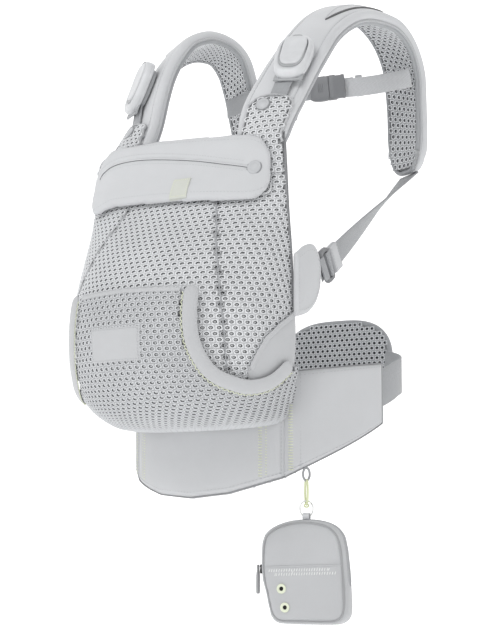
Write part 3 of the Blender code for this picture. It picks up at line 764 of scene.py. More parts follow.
def open_mesh(name, colour, rim=1.12, web=0.86):
    """Knitted spacer mesh with fine knit loops, coloured by height as painted light: a painted highlight on
    the raised eyelet rims and painted shade on the lower web between them.
    """
    s = Shader(name, colour, 0.7, Sheen_Weight=0.2, Sheen_Roughness=0.45, Specular_IOR_Level=0.35)
    relief = s.node("ShaderNodeAttribute", attribute_name="relief").outputs["Fac"]
    fibre = s.noise(2200.0, 2.0)
    cloud = s.noise(18.0, 3.0)
    level = s.maths("ADD", s.maths("MULTIPLY", relief, 0.5), 0.5)
    uneven = s.maths("SUBTRACT", s.maths("ADD", fibre, cloud), 1.0)
    tone = s.maths("ADD", level, s.maths("MULTIPLY", uneven, 0.25))
    # Tone follows the relief: painted shade low down, a painted highlight of rim times the colour on the
    # crests.
    paint = s.ramp(tone, [(0.0, toned(colour, 0.5)), (0.5, toned(colour, web)), (1.0, toned(colour, rim))])
    return s.finish(paint, s.spread(fibre, 0.6, 0.8), s.bump(fibre, 0.0002, 0.8))


def plain(name, colour, roughness=0.9):
    s = Shader(name, colour, roughness, Specular_IOR_Level=0.2)
    fibre = s.noise(1800.0, 2.0)
    paint = s.ramp(fibre, [(0.3, toned(colour, 0.8)), (0.7, toned(colour, 1.2))])
    return s.finish(paint, None, s.bump(fibre, 0.0002, 0.7))


def ribbed(name, colour, rib=1.5, twill=True):
    """Flat webbing: fine ribs across its length and lengthways warp threads."""
    s = Shader(name, colour, 0.6, Sheen_Weight=0.3, Sheen_Roughness=0.35, Specular_IOR_Level=0.4)
    split = s.node("ShaderNodeSeparateXYZ")
    s.put(s.place(uv=True), split.inputs[0])
    across, along = split.outputs[0], split.outputs[1]
    turn = 2 * math.pi / rib
    slant = s.maths("MULTIPLY", s.maths("PINGPONG", across, 4.0), 0.35) if twill else 0.0
    ribs = s.maths("SINE", s.maths("MULTIPLY", s.maths("ADD", along, slant), turn))
    warp = s.maths("SINE", s.maths("MULTIPLY", across, turn * 1.9))
    fibre = s.noise(2400.0, 2.0)
    weave = s.maths("ADD", ribs, s.maths("MULTIPLY", warp, 0.5))
    height = s.maths("ADD", s.maths("MULTIPLY", weave, 0.3), fibre)
    tone = s.spread(height, 0.0, 1.0)
    paint = s.ramp(tone, [(0.1, toned(colour, 0.78)), (0.9, toned(colour, 1.18))])
    return s.finish(paint, s.spread(fibre, 0.5, 0.7), s.bump(height, 0.00035, 0.9))


def moulded(name, colour, roughness=0.42):
    """Moulded plastic with a fine spark-eroded grain and faint handling marks."""
    s = Shader(name, colour, roughness, Specular_IOR_Level=0.5)
    grain = 0.00006
    spark = s.noise(1500.0, 3.0, 0.7)
    marks = s.noise(90.0, 5.0, 0.6)
    paint = s.ramp(marks, [(0.3, toned(colour, 0.95)), (0.7, toned(colour, 1.04))])
    return s.finish(paint, s.spread(marks, roughness - 0.07, roughness + 0.09), s.bump(spark, grain, 0.7))


def metal(name, colour, roughness=0.3):
    s = Shader(name, colour, roughness, Metallic=0.9)
    wear = s.noise(220.0, 4.0)
    paint = s.ramp(wear, [(0.35, toned(colour, 0.8)), (0.7, toned(colour, 1.35))])
    return s.finish(paint, s.spread(wear, roughness - 0.08, roughness + 0.15), s.bump(wear, 0.00003, 0.5))


CLOTH_GREY = (0.555, 0.564, 0.578)
FABRIC = woven("smooth_fabric", CLOTH_GREY)
FABRIC_SHADE = woven("smooth_fabric_shade", toned(CLOTH_GREY, 0.84))
STRAP_CLOTH = woven("strap_cloth", toned(CLOTH_GREY, 1.08))
BAND_CLOTH = woven("band_cloth", toned(CLOTH_GREY, 0.88))
MESH = open_mesh("spacer_mesh", (0.60, 0.61, 0.625), rim=1.3, web=0.8)
# Near black: painted shade inside the eyelets of the body, seat and tongue mesh, and in the head support's
# slit.
GAP_SHADE = plain("mesh_gap_shade", (0.13, 0.135, 0.14))
MESH_CORE = plain("mesh_core", (0.62, 0.63, 0.64))
SEAT_MESH = open_mesh("seat_mesh", (0.49, 0.50, 0.515), rim=1.3, web=0.8)
LINING = open_mesh("lining_mesh", (0.54, 0.55, 0.565), rim=1.5, web=0.72)
# Near black: painted shade inside the eyelets of the lining and lumbar meshes.
LINING_GAP = plain("lining_gap_shade", (0.07, 0.072, 0.076))
LINING_CORE = plain("lining_core", (0.36, 0.365, 0.375))
TAPE = ribbed("webbing", (0.36, 0.37, 0.385))
TAPE_LIGHT = ribbed("webbing_light", (0.62, 0.63, 0.645))
EDGE = ribbed("edge_tape", (0.50, 0.51, 0.525), rib=1.0, twill=False)
THREAD = plain("thread", (0.48, 0.49, 0.505), 0.6)
ACCENT_THREAD = plain("accent_thread", (0.68, 0.71, 0.54), 0.6)
ACCENT = moulded("accent_trim", (0.66, 0.71, 0.44), 0.4)
ACCENT_CLOTH = woven("accent_cloth", (0.565, 0.58, 0.535))
PLASTIC = moulded("buckle_plastic", (0.20, 0.205, 0.215), 0.45)
HOUSING = moulded("housing_plastic", (0.60, 0.61, 0.625), 0.38)
# Darker grey: the real colour of the buckle's base plate and bar, and painted shade in the buckle's groove
# and thumb notch.
HOUSING_DARK_AND_SHADE = moulded("housing_dark_and_painted_shade", (0.36, 0.37, 0.38), 0.45)
SNAP = moulded("snap_plastic", (0.46, 0.47, 0.485), 0.38)
STEEL = metal("pale_metal", (0.72, 0.73, 0.72))
BLACK = metal("black_metal", (0.035, 0.035, 0.037), 0.35)
LINING_CLOTH = woven("lining_cloth", (0.36, 0.37, 0.385), sheen=0.35)
# Dark grey: the real colour of the edge tapes, and a painted shadow in the ring under each press-stud cap.
SEAM_DARK_AND_SHADOW = woven("seam_dark_and_painted_shadow", (0.27, 0.275, 0.285), sheen=0.2)
LUMBAR_NET = open_mesh("lumbar_net", (0.46, 0.47, 0.485), rim=1.5, web=0.8)
PALE_THREAD = plain("pale_thread", (0.78, 0.79, 0.78), 0.6)
PALE_METAL = moulded("pale_eyelet", (0.72, 0.76, 0.60), 0.32)
ZIP_TAPE = woven("zip_tape", (0.40, 0.41, 0.425))
PIPING = woven("piping", (0.34, 0.345, 0.355))
# Near black: painted shade filling the holes of the pouch's eyelets.
HOLE = plain("eyelet_hole_shade", (0.02, 0.02, 0.02))
# Near black: painted shade in the slot beside each strap's inset.
SLOT_SHADE = woven("slot_painted_shade", (0.12, 0.122, 0.126), sheen=0.1)
ZIP_COIL = moulded("zip_coil", (0.22, 0.225, 0.235), 0.4)
PULL_GREY = moulded("pull_grey", (0.34, 0.345, 0.355), 0.4)
STUDIO_WHITE = plain("studio_white", (0.93, 0.93, 0.93), 0.9)
STUDIO_WHITE.node_tree.nodes["Principled BSDF"].inputs["Emission Color"].default_value = (1, 1, 1, 1)
STUDIO_WHITE.node_tree.nodes["Principled BSDF"].inputs["Emission Strength"].default_value = 0.5


# ---------------------------------------------------------------- body

FLAT_BODY = Flat(body_point, (-1, 1), (0, body_station(BODY_TOP_Z)[()]))


def body_path(points, spacing=2.0, out=0.0):
    """Smooth path on the body through (s, height) points, with its normals."""
    knots = np.array([(s, body_station(z, s)) for s, z in points], float)
    t = np.linspace(0, len(knots) - 1, 40 * (len(knots) - 1) + 1)
    places = blend(knots, t)
    raw = shifted(body_point, places[:, 0], places[:, 1], out)
    normals = normal_of(body_point, places[:, 0], places[:, 1])
    lengths = arc_lengths(raw)
    even = np.linspace(0, lengths[-1], max(int(lengths[-1] / spacing), 4))
    return along_path(raw, even), along_path_normals(raw, normals, even)


def body_line(s_values, z_values, out=0.0):
    s_values, z_values = np.broadcast_arrays(np.asarray(s_values, float), np.asarray(z_values, float))
    return line_on(body_point, s_values, body_station(z_values, s_values), out)


def seam_of(z):
    return graph(SEAM, z)


def make_body_panels():
    """Open mesh panels of the bucket: front, two sides, and the seat over them."""
    def heights(x, y):
        return FLAT_BODY.point(x, y)[..., 2], FLAT_BODY.parameter(x, y)

    def inside(x, y):
        low, high = FLAT_BODY.reach(y)
        return (x > low + 1) & (x < high - 1)

    def front(x, y):
        z, s = heights(x, y)
        return inside(x, y) & (np.abs(s) < seam_of(z) + 0.012) & (z > 4)

    def seat(x, y):
        z, s = heights(x, y)
        return inside(x, y) & (z < graph(SEAT_TOP, s) - 1)

    paints = (MESH, GAP_SHADE, MESH_CORE)
    eyelet_cloth("body_panel_mesh", FLAT_BODY, front, BODY_MESH, *BODY_CLOTH, paints, nodes="body_panel")
    for side, label in SIDES:
        def aside(x, y, side=side):
            z, s = heights(x, y)
            return inside(x, y) & (side * s > seam_of(z) - 0.012) & (z > graph(SIDE_BOTTOM, s) - 7)

        eyelet_cloth(f"side_panel_mesh_{label}", FLAT_BODY, aside, BODY_MESH, *BODY_CLOTH, paints,
                     nodes=f"side_panel_{label}")
    eyelet_cloth("seat_panel_mesh", FLAT_BODY, seat, SEAT_PITCH, 5.0, 3.0, (SEAT_MESH, GAP_SHADE, MESH_CORE),
                 depth=1.2, nodes="seat_panel")


def make_body_seams():
    """Seams between front and side, edge tapes, and the hem along the top of the seat."""
    seam_paints = {1: LINING_CLOTH, -1: MESH}
    z = np.linspace(12, BODY_TOP_Z, 110)
    for side, label in SIDES:
        path, normals = body_line(seam_of(z), z, -0.2)
        sweep(f"front_seam_{label}", path, normals, round_section(0.7, 8, 0.9), seam_paints[side], side,
              slot="lining_mesh")
        path, normals = body_line(1.0, np.linspace(84, BODY_TOP_Z, 90), -3.0)
        top = STRAP_POINT[label](0.88, 0.05)
        path = np.vstack([path, path[-1] + (top - path[-1]) * np.linspace(0.2, 1.0, 6)[:, None]])
        normals = np.vstack([normals, np.repeat(normals[-1:], 6, 0)])
        thin = np.clip((len(path) - np.arange(len(path))) / 9, 0.25, 1)
        sweep(f"side_edge_{label}", path, normals, tape_section(4.4, 7.0, 1.8), SEAM_DARK_AND_SHADOW, side,
              np.stack([thin, thin], -1))
    s = np.linspace(-0.31, 0.31, 90)
    path, normals = body_line(s, graph(SEAT_TOP, s) - 1.5, 4.6)
    sweep("seat_hem", path, normals, tape_section(5.0, 3.6, 1.4), MESH)
    s = np.linspace(-0.985, 0.985, 160)
    sweep("seat_foot", *line_on(body_point, s, 0.05, 3.2), round_section(2.0, 8), MESH)


def make_gussets():
    """Smooth panels between the curved bands and the wearer."""
    for side, label in SIDES:
        s = np.linspace(0.67, 1.0, 22)
        low = np.array([body_station(s_, s_)[()] for s_ in s])
        high = np.array([body_station(graph(SIDE_BOTTOM, s_) + 2.5, s_)[()] for s_ in s])
        v = low[:, None] + (high - low)[:, None] * np.linspace(0, 1, 26)
        u = np.repeat(s[:, None], 26, 1)
        front = shifted(body_point, u, v, cushion_offsets(u.shape, (3, 3), 2.0, 0.4))
        back = shifted(body_point, u, v, -4.6 - cushion_offsets(u.shape, (3, 3), 1.0))
        quilt(f"leg_gusset_panel_{label}", front, back, BAND_CLOTH, side, nodes=f"leg_gusset_{label}")
        line = s[1:-1]
        path, normals = body_line(line, graph(SIDE_BOTTOM, line) + 1.0, 2.0)
        sweep(f"gusset_edge_{label}", path, normals, tape_section(5.0, 2.4, 1.0), BAND_CLOTH, side)


def make_bindings():
    """Smooth padded bands along the seat's curved edges, with a zigzag of accent thread on the outer edge."""
    for side, label in SIDES:
        path, normals = body_path(BINDING, 2.0, 6.4)
        count = len(path)
        ends = np.minimum(np.arange(count), np.arange(count)[::-1]) * 2.0
        width = np.sqrt(np.clip(1 - (1 - np.clip(ends / 7.5, 0, 1)) ** 2, 0.02, 1))
        scale = np.stack([width, 0.35 + 0.65 * width], -1)
        section = [(-7.4, -0.4), (-7.2, 1.0), (-6.0, 2.1), (-3.5, 2.9), (0, 3.2), (3.5, 2.9), (6.0, 2.1),
                   (7.2, 1.0), (7.4, -0.4), (4, -1.1), (-4, -1.1)]
        band = sweep(f"leg_band_{label}", path, normals, section, BAND_CLOTH, side, scale,
                     nodes=f"leg_binding_{label}")
        run = unit(np.gradient(path, axis=0))
        across = np.cross(run, normals)
        steps = arc_lengths(path)
        places = np.arange(9, steps[-1] - 4, 2.6)
        middle = along_path(path, places)
        out = along_path_normals(path, normals, places)
        aside = along_path_normals(path, across, places)
        ahead = along_path_normals(path, run, places)
        lean = np.where(np.arange(len(places)) % 2, 0.7, -0.7)[:, None]
        outward = 8.3 if (aside[0] * (-1, 0, 0)).sum() > 0 else -8.3
        middle = middle + aside * outward + out * 0.3
        stitches = thread_pills(middle, unit(ahead + aside * lean), out, 3.4, 0.5)
        gathered(f"leg_band_stitches_{label}", [stitches], ACCENT_THREAD, side)


def make_patch():
    """Plain sewn patch on the seat."""
    wide, half_stations, centre, height = PATCH
    reach = math.asin(wide / 2 / BODY[4][2]) / (math.pi / 2)
    middle = body_station(height)[()]
    u = np.linspace(-1, 1, 40)[:, None]
    v = np.linspace(-1, 1, 24)[None, :]
    s = centre + u * reach + 0 * v
    t = middle + half_stations * v + 0 * u
    soft = cushion_offsets((40, 24), (2, 2), 0.9, 5.5)
    front = shifted(body_point, s, t, soft)
    back = shifted(body_point, s, t, 5.0)
    quilt("seat_patch", front, back, BAND_CLOTH, nodes="front_patch")
    inset = 0.93
    corners = [(-1, -1), (1, -1), (1, 1), (-1, 1), (-1, -1)]
    line = np.vstack([np.linspace(a, b, 30)[:-1] for a, b in zip(corners[:-1], corners[1:])]) * inset
    s, t = centre + line[:, 0] * reach, middle + half_stations * line[:, 1] * 0.96
    stitches = stitches_mesh(*line_on(body_point, s, t, 6.4), 2.2, 1.0, 0.3)
    gathered("seat_patch_stitches", [stitches], THREAD)


# ---------------------------------------------------------------- waist belt

def belt_line(angles, k, out=0.0):
    return line_on(belt_point, angles, k, out)


def belt_quilt(name, low, high, nodes, side=1):
    wide, tall = max(int((high - low) / 1.3), 8), 46
    angle = np.repeat(np.linspace(low, high, wide)[:, None], tall, 1)
    k = np.repeat(np.linspace(0, 1, tall)[None, :], wide, 0)
    puff = cushion_offsets((wide, tall), (3, 5), 2.6, -2.4)
    front = shifted(belt_point, angle, k, puff)
    front = front + unit(front * (1, 1, 0)) * (ripple(front, 24.0)[..., None] * 0.35)
    back = shifted(belt_point, angle, k, -8.6)
    quilt(name, front, back, FABRIC, side, nodes=nodes)


def make_belt():
    """The belt's three padded outer panels, its mesh lining and its edge tapes."""
    belt_quilt("belt_front_panel", -BELT_SEAM, BELT_SEAM, ("belt_front_cover", "belt_foam"))
    for side, label in SIDES:
        belt_quilt(f"belt_wing_panel_{label}", BELT_SEAM + 0.05, BELT_END, f"belt_wing_{label}", side)
    angles = np.linspace(-BELT_END, BELT_END, 150)
    eyelet_lining(angles)
    for name, k, aside in (("belt_low_edge", 0.0, -0.4), ("belt_top_edge", 1.0, 0.4)):
        path, normals = belt_line(angles, k, -6.5)
        sweep(name, path + vec(0, 0, aside), normals, tape_section(1.8, 10.4, 0.8), SEAM_DARK_AND_SHADOW)
    for side, label in SIDES:
        path, normals = belt_line(BELT_END, np.linspace(0, 1, 50), -6.5)
        sweep(f"belt_end_edge_{label}", path, normals, tape_section(2.4, 11.0, 1.0), FABRIC_SHADE, side)


def eyelet_lining(angles):
    """Mesh lining inside the belt, laid out in height so that its rows stay level."""
    low, high = min(z for _, z in BELT_BOTTOM), max(z for _, z in BELT_TOP)
    inner = BELT_RADIUS - 9.6
    flat = Flat(lambda a, k: ring_point(a, low + (high - low) * k, inner), (angles[0], angles[-1]), (0, 1))

    def inside(x, y):
        angle, z = flat.parameter(x, y), flat.point(x, y)[..., 2]
        reach = flat.reach(y)
        level = (z > graph(BELT_BOTTOM, angle) + 1.5) & (z < graph(BELT_TOP, angle) - 1.5)
        return level & (x > reach[0] + 2) & (x < reach[1] - 2)

    eyelet_cloth("belt_lining_mesh", flat, inside, (6.4, 4.8), 0.0, 1.8, (LINING, LINING_GAP, LINING_CORE),
                 depth=0.7, rise=0.35, nodes="belt_lining")


def ladder_rows(angles_of, name, side, k_low=0.04, k_high=0.97, step=2.7):
    """Ladder stitches: short accent threads one above the other, across a seam."""
    rows = []
    for angle, length in angles_of:
        low, high = belt_point(angle, 0.0)[2], belt_point(angle, 1.0)[2]
        count = int((high - low) * (k_high - k_low) / step)
        k = np.linspace(k_low, k_high, count)
        middle, normals = belt_line(angle, k, 0.15)
        run = np.broadcast_to(ring_point(angle + 90, 0, 1.0), middle.shape)
        rows.append(thread_pills(middle, run, normals, length, 0.45))
    gathered(name, rows, ACCENT_THREAD, side)


def make_belt_stitching():
    """Ladder stitches at the belt's two seams, and topstitching along its seams and edges."""
    for side, label in SIDES:
        ladder_rows([(BELT_SEAM + 2.6, 5.6)], f"belt_ladder_stitches_{label}", side)
        ladder_rows([(BELT_SEAM - 9.5, 4.4), (BELT_SEAM - 7.2, 2.0)], f"belt_front_stitches_{label}", side,
                    0.07, 0.62)
        rows = []
        for angle in (BELT_SEAM - 1.2, BELT_SEAM + 6.6):
            path, normals = belt_line(angle, np.linspace(0.02, 0.98, 40), 0.1)
            rows.append(stitches_mesh(path, normals, 2.6, 1.2, 0.32))
        for k in (0.045, 0.955):
            angles = np.linspace(0, BELT_END - 2, 120)
            path, normals = belt_line(angles, k, -0.3)
            rows.append(stitches_mesh(path, normals, 2.8, 1.3, 0.3))
        gathered(f"belt_topstitch_{label}", rows, THREAD, side)


def make_waist_straps():
    """Waist webbing from the belt's ends to the lumbar pad, and the buckle on the right."""
    angles = np.linspace(BELT_END - 6, 150, 60)
    path = ring_point(angles, graph(WAIST_LINE, angles), WAIST_RADIUS)
    normals = unit(path * (1, 1, 0))
    sweep("waist_strap_left", path, normals, tape_section(WAIST_WEBBING, 1.8), TAPE,
          nodes="waist_webbing_left")
    half = graph(WAIST_LINE, BELT_END)
    socket_end = ring_point(-BELT_END - 0.3, half, WAIST_RADIUS)
    pad_end = ring_point(-149, graph(WAIST_LINE, 149), WAIST_RADIUS)
    run = unit(pad_end - socket_end)
    across = unit(vec(0, 0, 1) - run * run[2])
    outward = np.cross(across, run)
    outward = outward if outward @ socket_end > 0 else -outward
    mouth = socket_end + run * 39 + outward * 2
    start, end = mouth + run * 3 + outward * 8, pad_end + outward * 10 - run * 6
    path = start + (end - start) * np.linspace(0, 1.12, 30)[:, None]
    sweep("waist_strap_right", path, outward, tape_section(WAIST_WEBBING, 1.8), TAPE,
          nodes="waist_webbing_right")
    side_buckle("waist_buckle", mouth, run, across, WAIST_WEBBING + 8, 58.0, 13.0, "waist_plug")
    anchor = ring_point(np.linspace(-BELT_END + 5, -BELT_END - 5.5, 14), half, WAIST_RADIUS)
    sweep("waist_anchor_right", anchor, unit(anchor * (1, 1, 0)), tape_section(WAIST_WEBBING, 1.8), TAPE)


def round_rings(profile, count=32):
    """Rings of a turned part from its (radius, height) profile."""
    turn = np.arange(count) * 2 * math.pi / count
    return [xyz(r * np.cos(turn), r * np.sin(turn), h) for r, h in profile]


def cross_bar(reach, y, z, half_y, half_z):
    """Two rings of a bar across a buckle, from -reach to reach."""
    turn = np.arange(12) * math.pi / 6
    return [xyz(x, y + half_y * np.cos(turn), z + half_z * np.sin(turn)) for x in (-reach, reach)]


def rounded_ring(wide, high, level, power=5.0, count=28):
    angle = (np.arange(count) + 0.5) * 2 * math.pi / count
    c, s = np.cos(angle), np.sin(angle)
    x = np.sign(c) * np.abs(c) ** (2 / power) * wide / 2
    y = np.sign(s) * np.abs(s) ** (2 / power) * high / 2
    return xyz(x, y, float(level))


def loft_mesh(rings, closed=False):
    """(points, faces) of a skin through rings of the same count."""
    count = len(rings[0])
    faces = []
    pairs = list(zip(range(len(rings)), range(1, len(rings)))) + ([(len(rings) - 1, 0)] if closed else [])
    for a, b in pairs:
        faces += [[a * count + k, a * count + (k + 1) % count, b * count + (k + 1) % count, b * count + k]
                  for k in range(count)]
    if not closed:
        faces += [list(range(count))[::-1], [(len(rings) - 1) * count + k for k in range(count)]]
    return np.vstack(rings), faces


def loft(name, rings, place, paint, side=1, closed=False, **more):
    points, faces = loft_mesh([np.asarray(ring, float) for ring in rings], closed)
    return piece(name, flip_side(placed(place, points), side), faces, paint, turn=True, **more)


def side_buckle(name, centre, run, across, width, length, thick, plug_body):
    """Side-release buckle with a hollow socket, grip bars on its faces and a plug with one prong that fits
    into it.
    """
    place = frame_of(centre, across, np.cross(run, across))
    if place[3] @ run < 0:
        place = frame_of(centre, -across, np.cross(run, across))
    half, wall = length / 2, 2.0
    inner = (width - 2 * wall, thick - 2 * wall)
    profile = [(0.80, 0.42, -half), (0.86, 0.66, -half * 0.96), (0.95, 0.88, -half * 0.80),
               (1.0, 1.0, -half * 0.55),
               (1.0, 1.0, -half * 0.25), (0.96, 0.97, -half * 0.12), (0.99, 0.98, -2.2), (1.0, 1.0, -1.2),
               (0.985, 0.96, -0.7)]
    rings = [rounded_ring(width * a, thick * b, z) for a, b, z in profile]
    rings += [rounded_ring(inner[0], inner[1], -0.7), rounded_ring(inner[0], inner[1], -half * 0.5)]
    loft(f"{name}_female", rings, place, PLASTIC, nodes=f"{name}_socket")
    prong = (inner[0] - 1.4, inner[1] - 1.6)
    profile = [(0.55, 0.7, -half * 0.46), (0.8, 0.95, -half * 0.4), (0.98, 1.0, -half * 0.2),
               (0.98, 1.0, -0.2)]
    rings = [rounded_ring(prong[0] * a, prong[1] * b, z) for a, b, z in profile]
    profile = [(0.985, 0.94, -0.2), (1.0, 1.0, 0.6), (1.0, 1.0, half * 0.26), (0.93, 0.82, half * 0.34),
               (0.93, 0.80, half * 0.58), (0.97, 0.66, half * 0.66), (0.94, 0.5, half * 0.75)]
    rings += [rounded_ring(width * a, thick * b, z) for a, b, z in profile]
    loft(f"{name}_male", rings, place, PLASTIC, body=plug_body, nodes=f"{name}_plug")
    bars = []
    for level in (-half * 0.36, -half * 0.46, -half * 0.56):
        for face in (1, -1):
            bars.append(thread_pills(placed(place, [(0, face * thick * 0.5, level)]), place[1][None],
                                     face * place[2][None], width * 0.42, 0.7, 0.0))
    gathered(f"{name}_grip_bars", bars, PLASTIC)


def make_cross_strap():
    """Strap across the upper back: two lengths of webbing, a side-release buckle, a fold and a keeper."""
    left, bend, right = vec(*CROSS_LEFT), vec(*CROSS_BEND), vec(*CROSS_RIGHT)
    run = unit(left - bend)
    across = unit(vec(0, 0, 1) - run * run[2])
    mouth = bend + (left - bend) * CROSS_MOUTH
    behind = np.cross(run, across) * 5.8
    behind = behind if behind[1] > 0 else -behind
    side_buckle("cross_buckle", mouth, run, across, CROSS_WIDTH + 7, 46.0, 9.0, "cross_plug")
    out = unit(behind)
    f = np.linspace(0, 1.0, 40)[:, None]
    path = mouth + behind + run * 2 + (left - mouth - run * 2) * f
    path[:, 2] -= 2.2 * np.sin(np.linspace(0, math.pi, 40))
    sweep("cross_strap_left", path, out, tape_section(CROSS_WIDTH, 1.8), TAPE_LIGHT,
          nodes="cross_webbing_left")
    fold = mouth + behind + out * 2.0 + run * np.linspace(9, 26, 10)[:, None]
    sweep("cross_strap_fold", fold, out, tape_section(CROSS_WIDTH, 1.7), TAPE)
    keeper = mouth + behind + out * 2.4 + run * np.linspace(29, 36, 8)[:, None]
    sweep("cross_strap_keeper", keeper, out, tape_section(CROSS_WIDTH + 3, 6.0, 1.2), EDGE)
    points = np.array([right, bend, mouth - run * 22])
    lengths = arc_lengths(points)
    path = along_path(points, np.linspace(0, lengths[-1], 60))
    for _ in range(4):
        path[1:-1] = (path[:-2] + path[1:-1] * 2 + path[2:]) / 4
    normals = unit(np.cross(np.gradient(path, axis=0), across))
    normals = normals * np.sign(normals[:, 1:2])
    sweep("cross_strap_right", path, normals, tape_section(CROSS_WIDTH, 1.8), TAPE,
          nodes="cross_webbing_right")


# ---------------------------------------------------------------- shoulder straps

STRAP_POINT = {label: strap_surface(label) for _, label in SIDES}
STRAP_FLAT = {label: Flat(STRAP_POINT[label], (-1, 1), (0, STRAP_STATIONS)) for _, label in SIDES}


def strap_end(w):
    """Last station of a strap at w, where its back end is rounded."""
    past = np.clip((np.abs(w) - 0.3) / 0.7, 0, 1)
    return STRAP_STATIONS - 0.9 * (1 - np.sqrt(1 - 0.98 * past ** 2))


def foot_taper(w, t):
    """w of a strap drawn in on its outer side near its foot, where it runs into the body's side edge."""
    w, t = np.broadcast_arrays(np.asarray(w, float), np.asarray(t, float))
    return np.where(w > 0, w * (1 - 0.12 * smooth_step(1 - t / 1.4)), w)


def strap_rim():
    """(w, t, scale) up a strap's inner edge, round its end and down its outer edge, thin at both ends."""
    w = np.concatenate([np.full(120, -1.0), np.linspace(-1, 1, 41)[1:-1], np.full(120, 1.0)])
    up = np.linspace(-0.3, strap_end(1.0), 120)
    t = np.concatenate([up, strap_end(w[120:-120]), up[::-1]])
    thin = np.clip(np.minimum(np.arange(len(t)), np.arange(len(t))[::-1]) / 5, 0.2, 1)
    return foot_taper(w, t), t, np.stack([thin, thin], -1)


def make_strap_shell(side, label):
    """Padded strap: a crowned outer panel, soft edges, and ripples where it bends over the shoulder."""
    strap = STRAP_POINT[label]
    wide, tall = 33, 260
    w = np.repeat(np.linspace(-1, 1, wide)[:, None], tall, 1)
    t = strap_end(w) * np.linspace(0, 1, tall)[None, :]
    width = STRAP_HALF * (1 - np.abs(w))
    roll = np.sqrt(1 - (1 - np.clip(width / 5.5, 0, 1)) ** 2)
    ends = np.minimum(t * 36, (strap_end(w) - t) * 30)
    end_roll = np.sqrt(1 - (1 - np.clip(ends / 6, 0, 1)) ** 2)
    groove = np.exp(-((width - STRAP_GROOVE) / 1.1) ** 2) * 1.1
    w = foot_taper(w, t)
    base = strap(w, t)
    front = -4.6 + 4.8 * np.minimum(roll, end_roll) - groove + 0.45 * ripple(base, 17.0, side)
    back = -10.2 + 2.0 * (1 - np.minimum(roll, end_roll))
    pad = quilt(f"strap_pad_{label}", shifted(strap, w, t, front), shifted(strap, w, t, back), STRAP_CLOTH,
                side, nodes=f"strap_shell_{label}")
    rim_w, rim_t, thin = strap_rim()
    sweep(f"strap_edge_{label}", *line_on(strap, rim_w, rim_t, -9.6), round_section(2.1, 10, 0.9), EDGE,
          side, thin)
    rows = []
    for sign in (-1, 1):
        line = np.linspace(0.1, 12.2, 300)
        across = sign * (1 - STRAP_GROOVE / STRAP_HALF)
        rows.append(stitches_mesh(*line_on(strap, across, line, -0.7), 2.8, 1.3, 0.3))
    gathered(f"strap_topstitch_{label}", rows, THREAD, side)


def make_strap_lining(side, label):
    """Open mesh on the wearer's side of a shoulder strap, and the tape round its edge."""
    flat = STRAP_FLAT[label]

    def inside(x, y):
        low, high = flat.reach(y)
        w = flat.parameter(x, y)
        end = np.interp(strap_end(w), flat.v, flat.along)
        side_w = foot_taper(1.0, np.interp(y, flat.along, flat.v))
        return (x > low + 2) & (x < high - 2) & (w < side_w - 0.03) & (y < end - 2) & (y > 1)

    eyelet_cloth(f"strap_lining_mesh_{label}", flat, inside, STRAP_MESH, -11.0, 3.4,
                 (LINING, LINING_GAP, LINING_CORE), side, depth=1.3, nodes=f"strap_lining_{label}", both=True)
    strap = STRAP_POINT[label]
    w, t, thin = strap_rim()
    sweep(f"strap_lining_edge_{label}", *line_on(strap, w * 0.97, t, -12.7), tape_section(4.4, 4.6, 1.6),
          LINING_CLOTH, side, thin)


def tongue_surface(label):
    """Outer face of the mesh tongue: on the strap above t = 0, over the body's cloth below it."""
    strap = STRAP_POINT[label]

    def point(w, t):
        w, t = np.broadcast_arrays(np.asarray(w, float), np.asarray(t, float))
        high = shifted(strap, w, np.maximum(t, 0), 4.2)
        x = STRAP_INNER_X + (STRAP_FOOT_X - STRAP_INNER_X) * (w + 1) / 2
        s = np.arcsin(np.clip(x / (STRAP_FOOT_X + 0.4), -1, 0.995)) / (math.pi / 2)
        z = STRAP_FOOT_Z + 34.0 * np.minimum(t, 0)
        low = shifted(body_point, s, body_station(z, s), 0.9 + 3.3 * smooth_step((t + 0.9) / 0.9))
        mix = smooth_step((t + 0.25) / 0.5)[..., None]
        return low * (1 - mix) + high * mix

    return point


